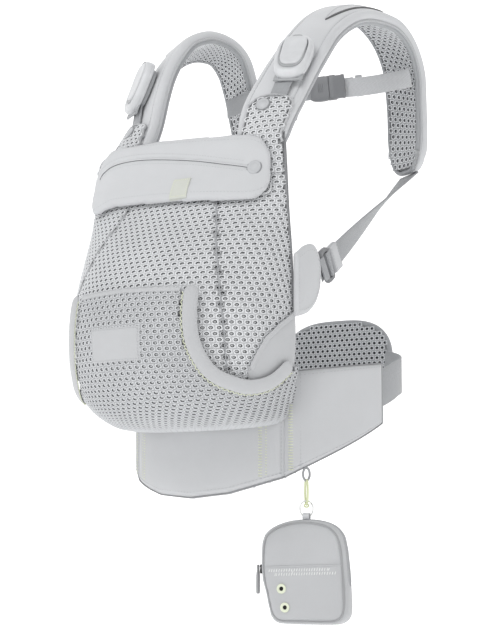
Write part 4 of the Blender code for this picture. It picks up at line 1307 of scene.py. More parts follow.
def make_tongue(side, label):
    """Mesh tongue that comes up over the strap from the body, its snap, and the webbing on to the buckle."""
    strap, face = STRAP_POINT[label], tongue_surface(label)
    flat = Flat(face, (-1, 1), (-1.2, 1.4))
    low_w, high_w = TONGUE_REACH[label]
    middle_w = (low_w + high_w) / 2
    place_w, place_t = BUCKLE_PLACE[label]

    def top(w):
        return 1.12 - 0.3 * (w - middle_w) ** 2

    def spread_w(t):
        """How much wider the tongue grows below the strap's foot."""
        return 0.34 * smooth_step((0.15 - t) / 1.1)

    def inside(x, y):
        w, t = flat.parameter(x, y), np.interp(y, flat.along, flat.v)
        aside = spread_w(t)
        return (w > low_w + 0.02 - aside) & (w < high_w - 0.02 + aside) & (t < top(w) - 0.03) & (t > -1.15)

    eyelet_cloth(f"tongue_mesh_{label}", flat, inside, BODY_MESH, 0.0, 3.2, (MESH, GAP_SHADE, MESH_CORE), side,
                 depth=1.3, nodes=f"strap_tongue_{label}")
    corner = 0.16
    turn = np.linspace(0, math.pi / 2, 7)[1:-1]
    rise = np.linspace(-1.1, top(low_w) - corner, 40)
    edge = [(low_w - spread_w(t), t) for t in rise]
    edge += [(low_w + corner * (1 - math.cos(a)), top(low_w) - corner * (1 - math.sin(a))) for a in turn]
    edge += [(w, top(w)) for w in np.linspace(low_w + corner, high_w - corner, 20)]
    edge += [(high_w - corner * (1 - math.sin(a)), top(high_w) - corner * (1 - math.cos(a))) for a in turn]
    edge += [(high_w + spread_w(t), t) for t in rise[::-1]]
    w, t = np.array(edge).T
    sweep(f"tongue_edge_{label}", *line_on(face, w, t, -1.3), tape_section(2.6, 3.4, 1.1), MESH, side)
    t = np.linspace(1.0, place_t - 0.5, 30)
    rise = 2.2 + 2.6 * smooth_step((t - t[0]) / (t[-1] - t[0]))
    sweep(f"tongue_tape_{label}", *line_on(strap, place_w, t, rise), tape_section(18.0, 1.8), TAPE, side,
          nodes=f"tongue_webbing_{label}")
    rows = []
    across = np.linspace(place_w - 0.27, place_w + 0.27, 12)
    for level in (0.96, 1.02, 1.08):
        rows.append(stitches_mesh(*line_on(strap, across, level, 4.9), 2.0, 0.7, 0.3))
    gathered(f"tongue_stitches_{label}", rows, THREAD, side)
    place = strap_frame(strap, SNAP_ACROSS[label], 0.82, 4.8)
    loft(f"tongue_snap_cap_{label}", snap_rings(7.0), place, SNAP, side, nodes=f"tongue_snap_{label}")
    snap_shadow_ring(f"tongue_snap_painted_shadow_{label}", place, 7.0, side)


def snap_shadow_ring(name, place, radius, side=1, body=CARRIER):
    """Dark ring under a press-stud cap: a painted shadow that shows as a line round it."""
    profile = ((0.3, -0.6), (1.13, -0.6), (1.13, 0.3), (1.05, 0.5), (0.9, 0.5))
    rings = [rounded_ring(radius * 2 * r, radius * 2 * r, z, 2.0, 32) for r, z in profile]
    loft(name, rings, place, SEAM_DARK_AND_SHADOW, side, slot="housing_plastic", body=body)


def snap_rings(radius):
    """Domed press-stud cap with a rolled rim and a shallow dish in its middle."""
    profile = [(0.2, 0.0), (0.97, 0.0), (1.0, 0.5), (0.98, 1.1), (0.90, 1.5), (0.80, 1.55), (0.74, 1.35),
               (0.66, 1.35), (0.56, 1.7), (0.36, 1.95), (0.14, 2.05), (0.02, 2.06)]
    return round_rings([(radius * r, z) for r, z in profile])


def oval_ring(wide, high, level, centre=(0.0, 0.0), power=2.7, count=48):
    ring = rounded_ring(wide, high, level, power, count)
    return ring + np.array((*centre, 0.0))


def buckle_ring(wide, high, level, centre=(0.0, 0.0), power=3.0, count=56):
    """Outline of the buckle's face: a rounded oblong, a little wider at its top."""
    ring = oval_ring(wide, high, level, (0.0, 0.0), power, count)
    ring[:, 0] *= 1 + 0.07 * ring[:, 1] / (high / 2)
    return ring + np.array((*centre, 0.0))


def make_strap_buckle(side, label):
    """Magnetic shoulder buckle: base, rounded housing with a parting line, and a U-shaped release panel."""
    place = strap_frame(STRAP_POINT[label], *BUCKLE_PLACE[label], 3.2)
    wide, high = BUCKLE
    base = [buckle_ring(wide * a, high * b, z) for a, b, z in
            ((0.76, 0.7, -2.6), (0.84, 0.78, -2.0), (0.86, 0.8, 0.0), (0.86, 0.8, 1.6), (0.82, 0.76, 2.0))]
    loft(f"buckle_plate_{label}", base, place, HOUSING_DARK_AND_SHADE, side, nodes=f"buckle_base_{label}")
    centre = (0.0, 4.0)
    profile = [(0.90, 0.93, 2.3), (0.97, 0.98, 2.7), (1.0, 1.0, 3.8), (1.0, 1.0, 5.4), (0.985, 0.988, 5.7),
               (0.985, 0.988, 6.1), (1.0, 1.0, 6.4), (0.995, 0.995, 8.2), (0.965, 0.975, 10.2),
               (0.91, 0.94, 11.6), (0.85, 0.90, 12.3), (0.79, 0.86, 12.5), (0.75, 0.835, 12.2)]
    shell = [buckle_ring(wide * a, high * b, z, (0.0, 1.2 * (1 - b) * 10)) for a, b, z in profile]
    shell += [buckle_ring(27.8, 49.2, 11.0, centre), buckle_ring(27.4, 48.6, 7.0, centre)]
    loft(f"buckle_shell_{label}", shell, place, HOUSING, side, body=f"release_{label}",
         nodes=f"buckle_housing_{label}")
    profile = [(0.97, 0.97, 8.6), (1.0, 1.0, 10.0), (1.0, 1.0, 12.2), (0.98, 0.985, 12.9), (0.93, 0.95, 13.4),
               (0.84, 0.88, 13.5), (0.66, 0.74, 13.1), (0.36, 0.45, 12.7), (0.03, 0.04, 12.6)]
    button = [buckle_ring(25.6 * a, 45.2 * b, z, (0.0, 5.8 + 1.2 * (1 - b)), 3.4) for a, b, z in profile]
    loft(f"buckle_release_{label}", button, place, HOUSING, side, body=f"button_{label}",
         nodes=f"buckle_button_{label}")
    # Painted shade: a dark U-shaped band in the gap between the panel and the housing, widest at the bottom.
    turn = np.linspace(math.radians(-192), math.radians(12), 60)
    outline = buckle_ring(26.6, 45.8, 11.2, (0.0, 4.2), 3.2, 240)
    angle = np.arctan2(outline[:, 1] - 4.2, outline[:, 0])
    order = np.argsort(angle)
    arc = np.stack([np.interp(np.mod(turn + math.pi, 2 * math.pi) - math.pi, angle[order], outline[order, k],
                              period=2 * math.pi) for k in range(3)], -1)
    thick = 0.3 + 0.8 * np.clip(-np.sin(turn), 0, 1) ** 1.5
    path = placed(place, arc)
    sweep(f"buckle_groove_{label}", path, place[3], tape_section(3.4, 2.2, 0.9),
          HOUSING_DARK_AND_SHADE, side, np.stack([thick, np.ones(60)], -1), body=f"release_{label}",
          slot="housing_plastic")
    # Thumb notch in the darker grey: painted shade in its recess.
    profile = ((1.0, 11.0), (1.0, 12.3), (0.86, 12.7), (0.5, 12.1), (0.05, 11.9))
    notch = [oval_ring(11.0 * a, 4.2 * a, z, (0.0, 28.6)) for a, z in profile]
    loft(f"buckle_thumb_notch_{label}", notch, place, HOUSING_DARK_AND_SHADE, side, body=f"release_{label}",
         slot="housing_plastic")
    ears = []
    for sign in (-1, 1):
        rings = [rounded_ring(6.0, 2.4, z, 3.0, 16) + np.array((sign * 12.5, 0, 0)) for z in (-33.0, -22.0)]
        ears.append(loft_mesh([np.stack([r[:, 0], r[:, 2], 3.6 + r[:, 1]], -1) for r in rings]))
    ears.append(loft_mesh(cross_bar(14.0, -31.6, 3.6, 1.5, 1.5)))
    gathered(f"buckle_bar_{label}", ears, HOUSING_DARK_AND_SHADE, side, place=place)


def make_strap_window(side, label):
    """Pointed inset of ribbed cloth on top of the shoulder, with a near-black strip along one edge: painted
    shade in the slot there.
    """
    strap = STRAP_POINT[label]
    first, last, middle, half = STRAP_WINDOW
    t = np.linspace(first, last, 60)
    bulge = np.sin(np.linspace(0, math.pi, 60)) ** 0.8
    w = middle + np.linspace(-half, half, 12)[:, None] * bulge[None, :]
    tt = np.repeat(t[None, :], 12, 0)
    quilt(f"strap_inset_{label}", shifted(strap, w, tt, 0.9), shifted(strap, w, tt, -1.6), TAPE_LIGHT, side)
    ends = np.sqrt(np.clip(np.minimum(np.arange(60), np.arange(60)[::-1]) / 8, 0.05, 1))
    for name, sign, section, paint in (("edge", -1, round_section(0.9, 8), STRAP_CLOTH),
                                       ("slot", 1, tape_section(3.6, 1.8, 0.6), SLOT_SHADE)):
        w = middle + sign * bulge * half
        sweep(f"strap_inset_{name}_{label}", *line_on(strap, w, t, 0.7), section, paint, side,
              np.stack([ends, np.ones(60)], -1))


# ---------------------------------------------------------------- strap anchors at the sides

def lower_strap_places(label):
    """Ladder lock's centre, the strap's end, the direction between them, and the lock's frame."""
    lock = vec(*LOCK_CENTRE)
    strap = STRAP_POINT[label]
    down = unit(strap(0, STRAP_STATIONS) - strap(0, STRAP_STATIONS - 0.05))
    end = shifted(strap, 0.0, STRAP_STATIONS, -7.0) + down * 2.4
    run = unit(end - lock)
    return lock, end, run, frame_of(lock, vec(0, -0.5, 0.86), run)


def make_side_anchor(side, label):
    """Padded wing on the side panel, its ladder lock, and the webbing up to the back of the strap."""
    closed = np.array([(*spot, 0) for spot in WING_OUTLINE + WING_OUTLINE[:1]], float)
    dense = along_path(closed, np.linspace(0, arc_lengths(closed)[-1], 61)[:-1])[:, :2]
    for _ in range(3):
        dense = (np.roll(dense, 1, 0) + 2 * dense + np.roll(dense, -1, 0)) / 4
    dense[:, 0] = np.maximum(dense[:, 0], WING_FRONT_Y)
    centre = dense.mean(0)
    rings = []
    for scale, x in WING_SECTION:
        flat_ring = centre + (dense - centre) * max(scale, 0.01)
        rings.append(np.column_stack([np.full(60, x), flat_ring]))
    points, faces = loft_mesh(rings)
    wing = piece(f"side_wing_pad_{label}", flip_side(points, side), faces, FABRIC,
                 nodes=f"side_wing_{label}", turn=True)
    inner = centre + (dense - centre) * 0.84
    path = np.column_stack([np.full(60, 137.3), inner])
    stitches = stitches_mesh(np.vstack([path, path[:1]]), vec(1, 0, 0), 2.6, 1.3, 0.3)
    gathered(f"side_wing_stitches_{label}", [stitches], THREAD, side)

    lock, end, run, plate = lower_strap_places(label)
    outer = [(1.0, 1.0, -2.4), (1.03, 1.05, -1.2), (1.04, 1.07, 0), (1.03, 1.05, 1.2), (1.0, 1.0, 2.4)]
    rings = [rounded_ring(LOCK[0] * a, LOCK[1] * b, z, 5, 32) for a, b, z in outer]
    for less, z in ((0.0, 2.4), (1.0, 0), (0.0, -2.4)):
        rings.append(rounded_ring(LOCK_OPENING[0] - 0.8 * less, LOCK_OPENING[1] - less, z, 5, 32))
    loft(f"ladder_frame_{label}", rings, plate, PLASTIC, side, closed=True, nodes=f"ladder_lock_{label}")
    loft(f"ladder_bar_{label}", cross_bar(14.4, 0.4, 0.6, 1.7, 1.9), plate, PLASTIC, side)

    across, out = plate[1], plate[3]
    out = out if out[0] > 0 else -out
    # Loop of webbing from the wing through the lock's lower bar.
    loop = np.array([lock - run * 16 + out * 1.4, lock - run * 11 + out * 2.6, lock - run * 6.5 + out * 2.4,
                     lock - run * 4.6, lock - run * 6.5 - out * 2.6, lock - run * 11 - out * 2.8,
                     lock - run * 16 - out * 1.6])
    loop = smooth_route(loop, 30)
    sweep(f"lock_loop_{label}", loop, band_normals(loop, across), tape_section(SIDE_WEBBING - 1, 1.5), TAPE,
          side)
    # Strap webbing: over the middle bar of the lock and up to the end of the strap, turning as it goes.
    half = np.array([lock + run * 2.6 - out * 2.4, lock + run * 0.4 + out * 2.9, lock + run * 3.4 + out * 3.2,
                     lock + run * 11.4 + out * 1.2, lock + run * 22])
    start = smooth_route(half, 24)
    f = np.linspace(0.0, 1.0, 70)[1:]
    straight = start[-1] + (end - start[-1]) * f[:, None]
    path = np.vstack([start, straight])
    lengths = arc_lengths(path) / arc_lengths(path)[-1]
    sideways = unit(across * (1 - lengths[:, None]) + unit(vec(1, -0.4, 0)) * lengths[:, None])
    normals = np.cross(sideways, np.gradient(path, axis=0))
    sweep(f"strap_tape_{label}", path, normals, tape_section(SIDE_WEBBING, 1.8), TAPE, side,
          nodes=f"strap_webbing_{label}")
    keeper = lock + run * np.linspace(13, 30, 12)[:, None] + out * 0.6
    facing = np.cross(np.broadcast_to(across, keeper.shape), run)
    sweep(f"strap_keeper_{label}", keeper, facing, tape_section(28.5, 6.4, 1.6), FABRIC, side)
    rows = [stitches_mesh(keeper[:1] + across * np.linspace(-12, 12, 14)[:, None] + out * 3.4 + run * step,
                          out, 2.2, 1.0, 0.3) for step in (1.5, 15.5)]
    gathered(f"strap_keeper_stitches_{label}", rows, THREAD, side)


def smooth_route(knots, count):
    return blend(np.asarray(knots, float), np.linspace(0, len(knots) - 1, count))


def band_normals(path, across):
    return unit(np.cross(np.broadcast_to(across, path.shape), np.gradient(path, axis=0)))


# ---------------------------------------------------------------- simulated padding

def cloth_skin(points, faces, voxel, pressure, most, still=None, frames=18, smooth=2):
    """(points, faces) of a closed shape blown up as cloth, no point moving further than most."""
    shape = bpy.data.meshes.new("cloth")
    shape.from_pydata((np.asarray(points, float) * MM).tolist(), [], faces)
    solid = bmesh.new()
    solid.from_mesh(shape)
    bmesh.ops.recalc_face_normals(solid, faces=solid.faces)
    solid.to_mesh(shape)
    solid.free()
    made = bpy.data.objects.new("cloth", shape)
    bpy.context.scene.collection.objects.link(made)
    remesh = made.modifiers.new("Remesh", "REMESH")
    remesh.mode = "VOXEL"
    remesh.voxel_size = voxel * MM
    shape = settled_mesh(made)
    start = mesh_points(shape)
    cloth = made.modifiers.new("Cloth", "CLOTH")
    cloth.settings.quality = 5
    cloth.settings.mass = 0.25
    cloth.settings.use_pressure = True
    cloth.settings.uniform_pressure_force = pressure
    cloth.settings.effector_weights.gravity = 0.0
    cloth.settings.tension_stiffness = 8.0
    cloth.settings.bending_stiffness = 0.6
    cloth.point_cache.frame_start = 1
    cloth.point_cache.frame_end = frames
    if still is not None:
        group = made.vertex_groups.new(name="still")
        for index, held in enumerate(still(start / MM)):
            if held > 0:
                group.add([index], float(held), "REPLACE")
        cloth.settings.vertex_group_mass = "still"
    for number in range(1, frames + 1):
        bpy.context.scene.frame_set(number)
    shape = settled_mesh(made)
    moved = mesh_points(shape) - start
    size = np.linalg.norm(moved, axis=1, keepdims=True)
    moved *= np.minimum(1, most * MM / np.maximum(size, 1e-9))
    shape.vertices.foreach_set("co", (start + moved).astype(np.float32).ravel())
    bpy.context.scene.frame_set(1)
    evened = made.modifiers.new("Even", "SMOOTH")
    evened.factor, evened.iterations = 0.5, smooth
    made.modifiers.new("Fine", "SUBSURF").levels = 1
    shape = settled_mesh(made)
    points = mesh_points(shape) / MM
    faces = [list(polygon.vertices) for polygon in shape.polygons]
    bpy.data.objects.remove(made)
    return points, faces


def settled_mesh(made):
    """Applies an object's modifiers and returns its mesh."""
    graph_now = bpy.context.evaluated_depsgraph_get()
    shape = bpy.data.meshes.new_from_object(made.evaluated_get(graph_now))
    made.modifiers.clear()
    made.data = shape
    return shape


def mesh_points(shape):
    values = np.zeros(len(shape.vertices) * 3, np.float32)
    shape.vertices.foreach_get("co", values)
    return values.reshape(-1, 3).astype(float)


class Skin:
    """A finished skin that seams and stitches are laid on."""

    def __init__(self, points, faces):
        self.tree = BVHTree.FromPolygons([Vector(p) for p in points], faces)

    def seated(self, path, normals, out=0.0, reach=30.0):
        """Points moved along their normals onto the skin, with the skin's own smoothed normals."""
        path = np.asarray(path, float)
        normals = unit(np.broadcast_to(np.asarray(normals, float), path.shape))
        found, facing = path.copy(), normals.copy()
        for index, (spot, normal) in enumerate(zip(path, normals)):
            hit, own, _, _ = self.tree.ray_cast(Vector(spot + normal * reach), Vector(-normal), 2 * reach)
            if hit is not None:
                found[index], facing[index] = hit, own
        for _ in range(3):
            found[1:-1] = (found[:-2] + 2 * found[1:-1] + found[2:]) / 4
            facing[1:-1] = (facing[:-2] + 2 * facing[1:-1] + facing[2:]) / 4
        return found + unit(facing) * out, unit(facing)


def rounded_slab(outline, levels):
    """(points, faces) of a plate from (x, z) outline points and (y, scale) levels, back to front."""
    centre = outline.mean(0)
    rings = []
    for y, scale in levels:
        ring = centre + (outline - centre) * scale
        rings.append(xyz(ring[:, 0], y, ring[:, 1]))
    return loft_mesh(rings)


def superellipse(wide, high, power=3.0, count=72):
    ring = rounded_ring(wide, high, 0, power, count)
    return ring[:, :2]


# ---------------------------------------------------------------- pads inside the belt

def make_belly_pad():
    """Quilted pad with a flat inner face and a back that follows the belt."""
    wide, high = BELLY_PAD
    ring = superellipse(wide - 3, high - 3, 7.0, 64)
    rings = []
    for f, scale in ((0.0, 0.93), (0.12, 0.985), (0.5, 1.0), (0.8, 0.99), (1.0, 0.95)):
        x, z = (ring * scale).T
        back = -np.sqrt(BELLY_BACK_RADIUS ** 2 - x * x)
        rings.append(np.stack([x, back + (BELLY_FACE_Y - 0.4 - back) * f, z + BELLY_Z], -1))
    points, faces = cloth_skin(*loft_mesh(rings), 4.0, 2.5, 2.0, still=lambda p: p[:, 1] > BELLY_FACE_Y - 1.5)
    points[:, 1] = np.minimum(points[:, 1], BELLY_FACE_Y)
    piece("belly_cushion", points, faces, LINING_CLOTH, nodes="belly_pad", turn=True)
    skin = Skin(points, faces)
    edge = superellipse(wide - 4, high - 4, 7.0, 160)
    edge = np.vstack([edge, edge[:1]])
    path = xyz(edge[:, 0], BELLY_FACE_Y - 1.4, edge[:, 1] + BELLY_Z)
    sweep("belly_piping", path, vec(0, 1, 0), round_section(1.2, 8), EDGE)
    rows = []
    for level in (BELLY_Z - 24.0, BELLY_Z, BELLY_Z + 24.0):
        line = xyz(np.linspace(-50, 50, 60), BELLY_FACE_Y, level)
        line, facing = skin.seated(line, vec(0, 1, 0), 0.05, 12.0)
        rows.append(stitches_mesh(line, facing, 2.6, 1.3, 0.3, 0.0))
    gathered("belly_quilting", rows, THREAD, slot="lining_mesh")


def ring_bead(spot, out, radius, wire):
    """(points, faces) of a small flat ring that lies on cloth."""
    place = frame_of(spot, vec(0, 0, 1) if abs(out[2]) < 0.9 else vec(1, 0, 0), np.cross(out, vec(0, 0, 1)))
    section = [(radius - wire, 0.0), (radius, wire * 0.8), (radius + wire, 0.0), (radius, -wire)]
    points, faces = loft_mesh(round_rings(section, 12), closed=True)
    return placed(place, points), faces


def lumbar_face(u, v):
    """Face of the lumbar pad towards the wearer; u and v run from -1 to 1."""
    u, v = np.broadcast_arrays(np.asarray(u, float), np.asarray(v, float))
    wide, high = LUMBAR_PAD
    crown = 5.0 - 3.2 * np.clip(1 - u ** 4, 0, 1) * np.clip(1 - v ** 4, 0, 1)
    return np.stack([-u * wide / 2, LUMBAR_FACE_Y + 1.6 + crown, v * high / 2 + LUMBAR_Z], -1)


def make_lumbar():
    """Lumbar pad: open mesh towards the wearer, a padded cover behind, piping between them."""
    wide, high = LUMBAR_PAD
    flat = Flat(lumbar_face, (-1, 1), (-1, 1))

    def inside(x, y):
        z = y - flat.along[-1] / 2
        return (np.abs(x) / (wide / 2)) ** 3 + (np.abs(z) / (high / 2)) ** 3 < 0.93

    eyelet_cloth("lumbar_mesh", flat, inside, LUMBAR_MESH, 0.0, 3.2, (LUMBAR_NET, LINING_GAP, LINING_GAP),
                 depth=1.2, rise=0.6, radii=LUMBAR_RADII, nodes="lumbar_pad")
    border = superellipse(wide - 13, high - 13, 3.0, 56) + (0, LUMBAR_Z)
    spots = lumbar_face(-border[:, 0] / (wide / 2), (border[:, 1] - LUMBAR_Z) / (high / 2)) - (0, 0.9, 0)
    eyelets = [ring_bead(spot, vec(0, -1, 0), 2.2, 0.8) for spot in spots]
    gathered("lumbar_border_eyelets", eyelets, LINING)
    levels = ((148.6, 0.90), (147.0, 0.965), (144.0, 0.985), (139.0, 0.985), (136.6, 0.975), (135.4, 0.93))
    slab = rounded_slab(superellipse(wide - 4, high - 4) + (0, LUMBAR_Z), levels)
    points, faces = cloth_skin(*slab, 4.0, 4.0, 5.0)
    points[:, 1] = np.clip(points[:, 1], *LUMBAR_DEPTH)
    back = piece("lumbar_back", points, faces, FABRIC, nodes="lumbar_cover", turn=True)
    skin = Skin(points, faces)
    ring = superellipse(wide - 1.5, high - 1.5, 3.0, 200) + (0, LUMBAR_Z)
    ring = np.vstack([ring, ring[:1]])
    path = xyz(ring[:, 0], LUMBAR_DEPTH[0], ring[:, 1])
    sweep("lumbar_piping", path[:-1], vec(0, -1, 0), round_section(3.4, 12, 0.8), LINING_CLOTH, closed=True)
    inset = superellipse(wide - 20, high - 20, 3.0, 140) + (0, LUMBAR_Z)
    inset = np.vstack([inset, inset[:1]])
    line = xyz(inset[:, 0], 150.0, inset[:, 1])
    line, facing = skin.seated(line, vec(0, 1, 0), 0.05, 12.0)
    gathered("lumbar_topstitch", [stitches_mesh(line, facing, 2.8, 1.3, 0.32, 0.0)], THREAD)
    # Guide for the waist webbing, sewn across the back of the pad.
    guide = xyz(np.linspace(-50, 50, 40), 151.0, LUMBAR_Z)
    guide, facing = skin.seated(guide, vec(0, 1, 0), 0.9, 12.0)
    sweep("lumbar_webbing_guide", guide, vec(0, 1, 0), tape_section(40.0, 1.8), TAPE)
    bar_rows = []
    for x in (-46.0, -20.0, 20.0, 46.0):
        spots = xyz(x, 152.5, np.linspace(-17, 17, 14) + LUMBAR_Z)
        spots, facing = skin.seated(spots, vec(0, 1, 0), 1.85, 12.0)
        bar_rows.append(stitches_mesh(spots, facing, 2.0, 0.5, 0.35, 0.0))
    gathered("lumbar_guide_stitches", bar_rows, THREAD, slot="webbing")


# ---------------------------------------------------------------- head support

def collar_half(s):
    """Half height of the head support at s, less towards its rounded ends."""
    past = np.clip((np.abs(s) / COLLAR_REACH - 0.62) / 0.38, 0, None)
    return (COLLAR_HALF + 2.5) * np.sqrt(np.clip(1 - 0.90 * past ** 2.6, 0.02, 1))


def collar_level(s, k):
    """Height of the head support's padding at s; k runs from -1 at its lower edge to 1 at its upper one."""
    droop = (15.0 - 4.0 * k) * smooth_step((-s - 0.40) / 0.36)
    return COLLAR_MIDDLE + 2.5 + COLLAR_TILT * s - droop + collar_half(s) * k


def collar_stations(s, k):
    s, k = np.broadcast_arrays(np.asarray(s, float), np.asarray(k, float))
    return body_station(collar_level(s, k), 0 * s)


COLLAR_SLIT = [(-0.655, 243.0), (-0.62, 248.0), (-0.5, 254.5), (-0.32, 256.0), (-0.13, 253.0), (0.13, 245.0),
               (0.34, 236.5), (0.52, 230.5)]


def make_collar():
    """Padded head support folded down over the body's top edge, with its long slit, tag and snap."""
    s = np.linspace(-COLLAR_REACH - 0.03, COLLAR_REACH, 150)
    k = np.linspace(-1, 1, 34)
    u, w = np.meshgrid(s, k, indexing="ij")
    v = collar_stations(u, w)
    soft = np.minimum(cushion_offsets(u.shape, (9, 9), 1.0), 1.0)
    front = shifted(body_point, u, v, 5.2 + 4.8 * soft)
    back = shifted(body_point, u, v, 1.9)
    points, faces = grid_solid(front, back)
    points, faces = cloth_skin(points, faces, 2.8, 1.2, 1.4, smooth=10)
    points = points + unit(points * (1, 1, 0)) * ripple(points, 30.0, 4.0)[:, None] * 0.4
    skin = Skin(points, faces)
    slit = np.array(COLLAR_SLIT)
    t = np.linspace(0, len(slit) - 1, 160)
    places = blend(slit, t)
    line = shifted(body_point, places[:, 0], body_station(places[:, 1]), 12.0)
    line, facing = skin.seated(line, normal_of(body_point, places[:, 0], body_station(places[:, 1])))
    points = dented(points, line, 2.4, 1.3)
    collar = piece("head_collar_pad", points, faces, FABRIC, "collar", nodes="head_collar", turn=True)
    # The slit is a thin dark strip sunk in the dent: painted shade in the opening.
    sweep("collar_slit", line - facing * 1.0, facing, tape_section(0.8, 0.9, 0.3), GAP_SHADE, body="collar",
          slot="smooth_fabric")
    upper = line + np.array((0, 0, 1.0)) - facing * 0.7
    sweep("collar_slit_hem", upper, facing, round_section(0.9, 8, 0.8), FABRIC, body="collar")
    skin = Skin(points, faces)
    rows = []
    for step in (6.5, -4.5):
        row, row_facing = skin.seated(line[6:-4] + vec(0, 0, step), facing[6:-4], 0.05)
        rows.append(stitches_mesh(row, row_facing, 2.4, 1.2, 0.28, 0.0))
    rim_s = np.concatenate([s, s[::-1]])
    rim_k = np.concatenate([np.full(150, 0.8), np.full(150, -0.8)])
    rim_v = collar_stations(rim_s * 0.97, rim_k)
    rim = shifted(body_point, rim_s * 0.97, rim_v, 12.0)
    for half in (slice(0, 150), slice(150, 300)):
        row, row_facing = skin.seated(rim[half], normal_of(body_point, rim_s[half] * 0.97, rim_v[half]), 0.05)
        rows.append(stitches_mesh(row, row_facing, 2.6, 1.4, 0.28, 0.0))
    gathered("collar_topstitch", rows, THREAD, body="collar")

    tag_s, tag_z, half, rise = TAG
    rows = np.linspace(-1, 1, 14)
    lifts = []
    for reach in (-1, 0, 1):
        station = body_station(tag_z + rows * rise)
        base = body_point(tag_s + reach * half, station)
        facing = normal_of(body_point, tag_s + reach * half, station)
        lifts.append(((skin.seated(base, facing)[0] - base) * facing).sum(1))
    lifts = np.max(lifts, axis=0)

    def tag_point(u, w, out):
        """Point of the tag, which follows the head support's padding row by row."""
        station = body_station(tag_z + w * rise)
        return shifted(body_point, tag_s + u * half, station, np.interp(w, rows, lifts) + out)

    u, w = np.meshgrid(np.linspace(-1, 1, 16), np.linspace(-1, 1, 14), indexing="ij")
    quilt("collar_tag_patch", tag_point(u, w, 1.2), tag_point(u, w, -2.0), ACCENT_CLOTH, nodes="collar_tag",
          body="collar")
    side_u, side_w = np.full(20, 0.87), np.linspace(0.84, -0.84, 20)
    across = np.linspace(-0.87, 0.87, 20)
    u = np.concatenate([across, side_u, across[::-1], -side_u])
    w = np.concatenate([np.full(20, 0.84), side_w, np.full(20, -0.84), side_w[::-1]])
    normals = normal_of(body_point, tag_s + u * half, body_station(tag_z + w * rise))
    stitches = stitches_mesh(tag_point(u, w, 1.3), normals, 1.6, 0.9, 0.28, 0.0)
    gathered("collar_tag_stitches", [stitches], ACCENT_THREAD, body="collar")
    v_at = body_station(COLLAR_MIDDLE - 6)
    across = body_point(COLLAR_SNAP + 0.01, v_at) - body_point(COLLAR_SNAP - 0.01, v_at)
    up = body_point(COLLAR_SNAP, v_at + 0.05) - body_point(COLLAR_SNAP, v_at - 0.05)
    place = frame_of(shifted(body_point, COLLAR_SNAP, v_at, 12.6), across, up)
    hit, _ = skin.seated(place[0][None], place[3][None])
    place[0] = hit[0] - place[3] * 0.3
    loft("collar_snap_cap", snap_rings(7.5), place, SNAP, nodes="collar_snap", body="collar")
    snap_shadow_ring("collar_snap_painted_shadow", place, 7.5, body="collar")


def grid_solid(front, back):
    """(points, faces) of a closed sheet between two grids."""
    wide, high = front.shape[:2]
    index = np.arange(wide * high).reshape(wide, high)
    total = wide * high
    a, b, c, d = index[:-1, :-1], index[1:, :-1], index[1:, 1:], index[:-1, 1:]
    quads = np.stack([a, b, c, d], -1).reshape(-1, 4)
    faces = quads.tolist() + (quads[:, ::-1] + total).tolist()
    rim = [*index[:, 0], *index[-1, 1:], *index[-2::-1, -1], *index[0, -2:0:-1]]
    for first, second in zip(rim, rim[1:] + rim[:1]):
        faces.append([int(second), int(first), int(first) + total, int(second) + total])
    return np.vstack([front.reshape(-1, 3), back.reshape(-1, 3)]), faces


def dented(points, line, width, depth):
    """Pulls a skin in along a line, as stitching through padding does."""
    near, facing = nearest(points, line)
    gap = np.linalg.norm(points - near, axis=1)
    amount = depth * np.exp(-((gap / width) ** 2))
    return points - facing * amount[:, None]


def nearest(points, line):
    """Closest point of a line for each point, with the direction away from the belt's axis there."""
    best = np.full(len(points), np.inf)
    found = np.zeros_like(points)
    for spot in line:
        gap = ((points - spot) ** 2).sum(1)
        closer = gap < best
        best[closer] = gap[closer]
        found[closer] = spot
    return found, unit(found * (1, 1, 0))


def make_collar_hinge():
    """Strip of cloth in the head support's fold."""
    u = np.linspace(-0.56, 0.56, 90)[:, None] + np.zeros((1, 16))
    z = np.linspace(COLLAR_FOLD[0] - 2, COLLAR_FOLD[1] + 2, 16)[None, :] + COLLAR_TILT * u
    v = body_station(z, 0 * u)
    rise = 2.4 * np.linspace(0, 1, 16)[None, :]
    strip = quilt("collar_fold_strip", shifted(body_point, u, v, 1.4 + rise),
                  shifted(body_point, u, v, rise - 1.0), FABRIC, body=None)
    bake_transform(strip)


# ---------------------------------------------------------------- hanging pouch

def hang_frame(z, direction):
    """Frame of a hanging link at height z, x along direction."""
    direction = unit(direction)
    return frame_of(ring_point(HANG_ANGLE, z, HANG_RADIUS), direction, np.cross(vec(0, 0, 1), direction))


def oval_path(wide, low, high, start=0.0, end=360.0, count=48):
    closed = end - start >= 360.0
    turn = np.radians(np.linspace(start, end, count + (1 if closed else 0)))[:count]
    middle, half = (low + high) / 2, (high - low) / 2
    return xyz(wide / 2 * np.cos(turn), 0, middle + half * np.sin(turn))


def wire_ring(name, local, place, section, paint, closed=True, **more):
    path = placed(place, local)
    sweep(name, path, place[2], section, paint, closed=closed, **more)


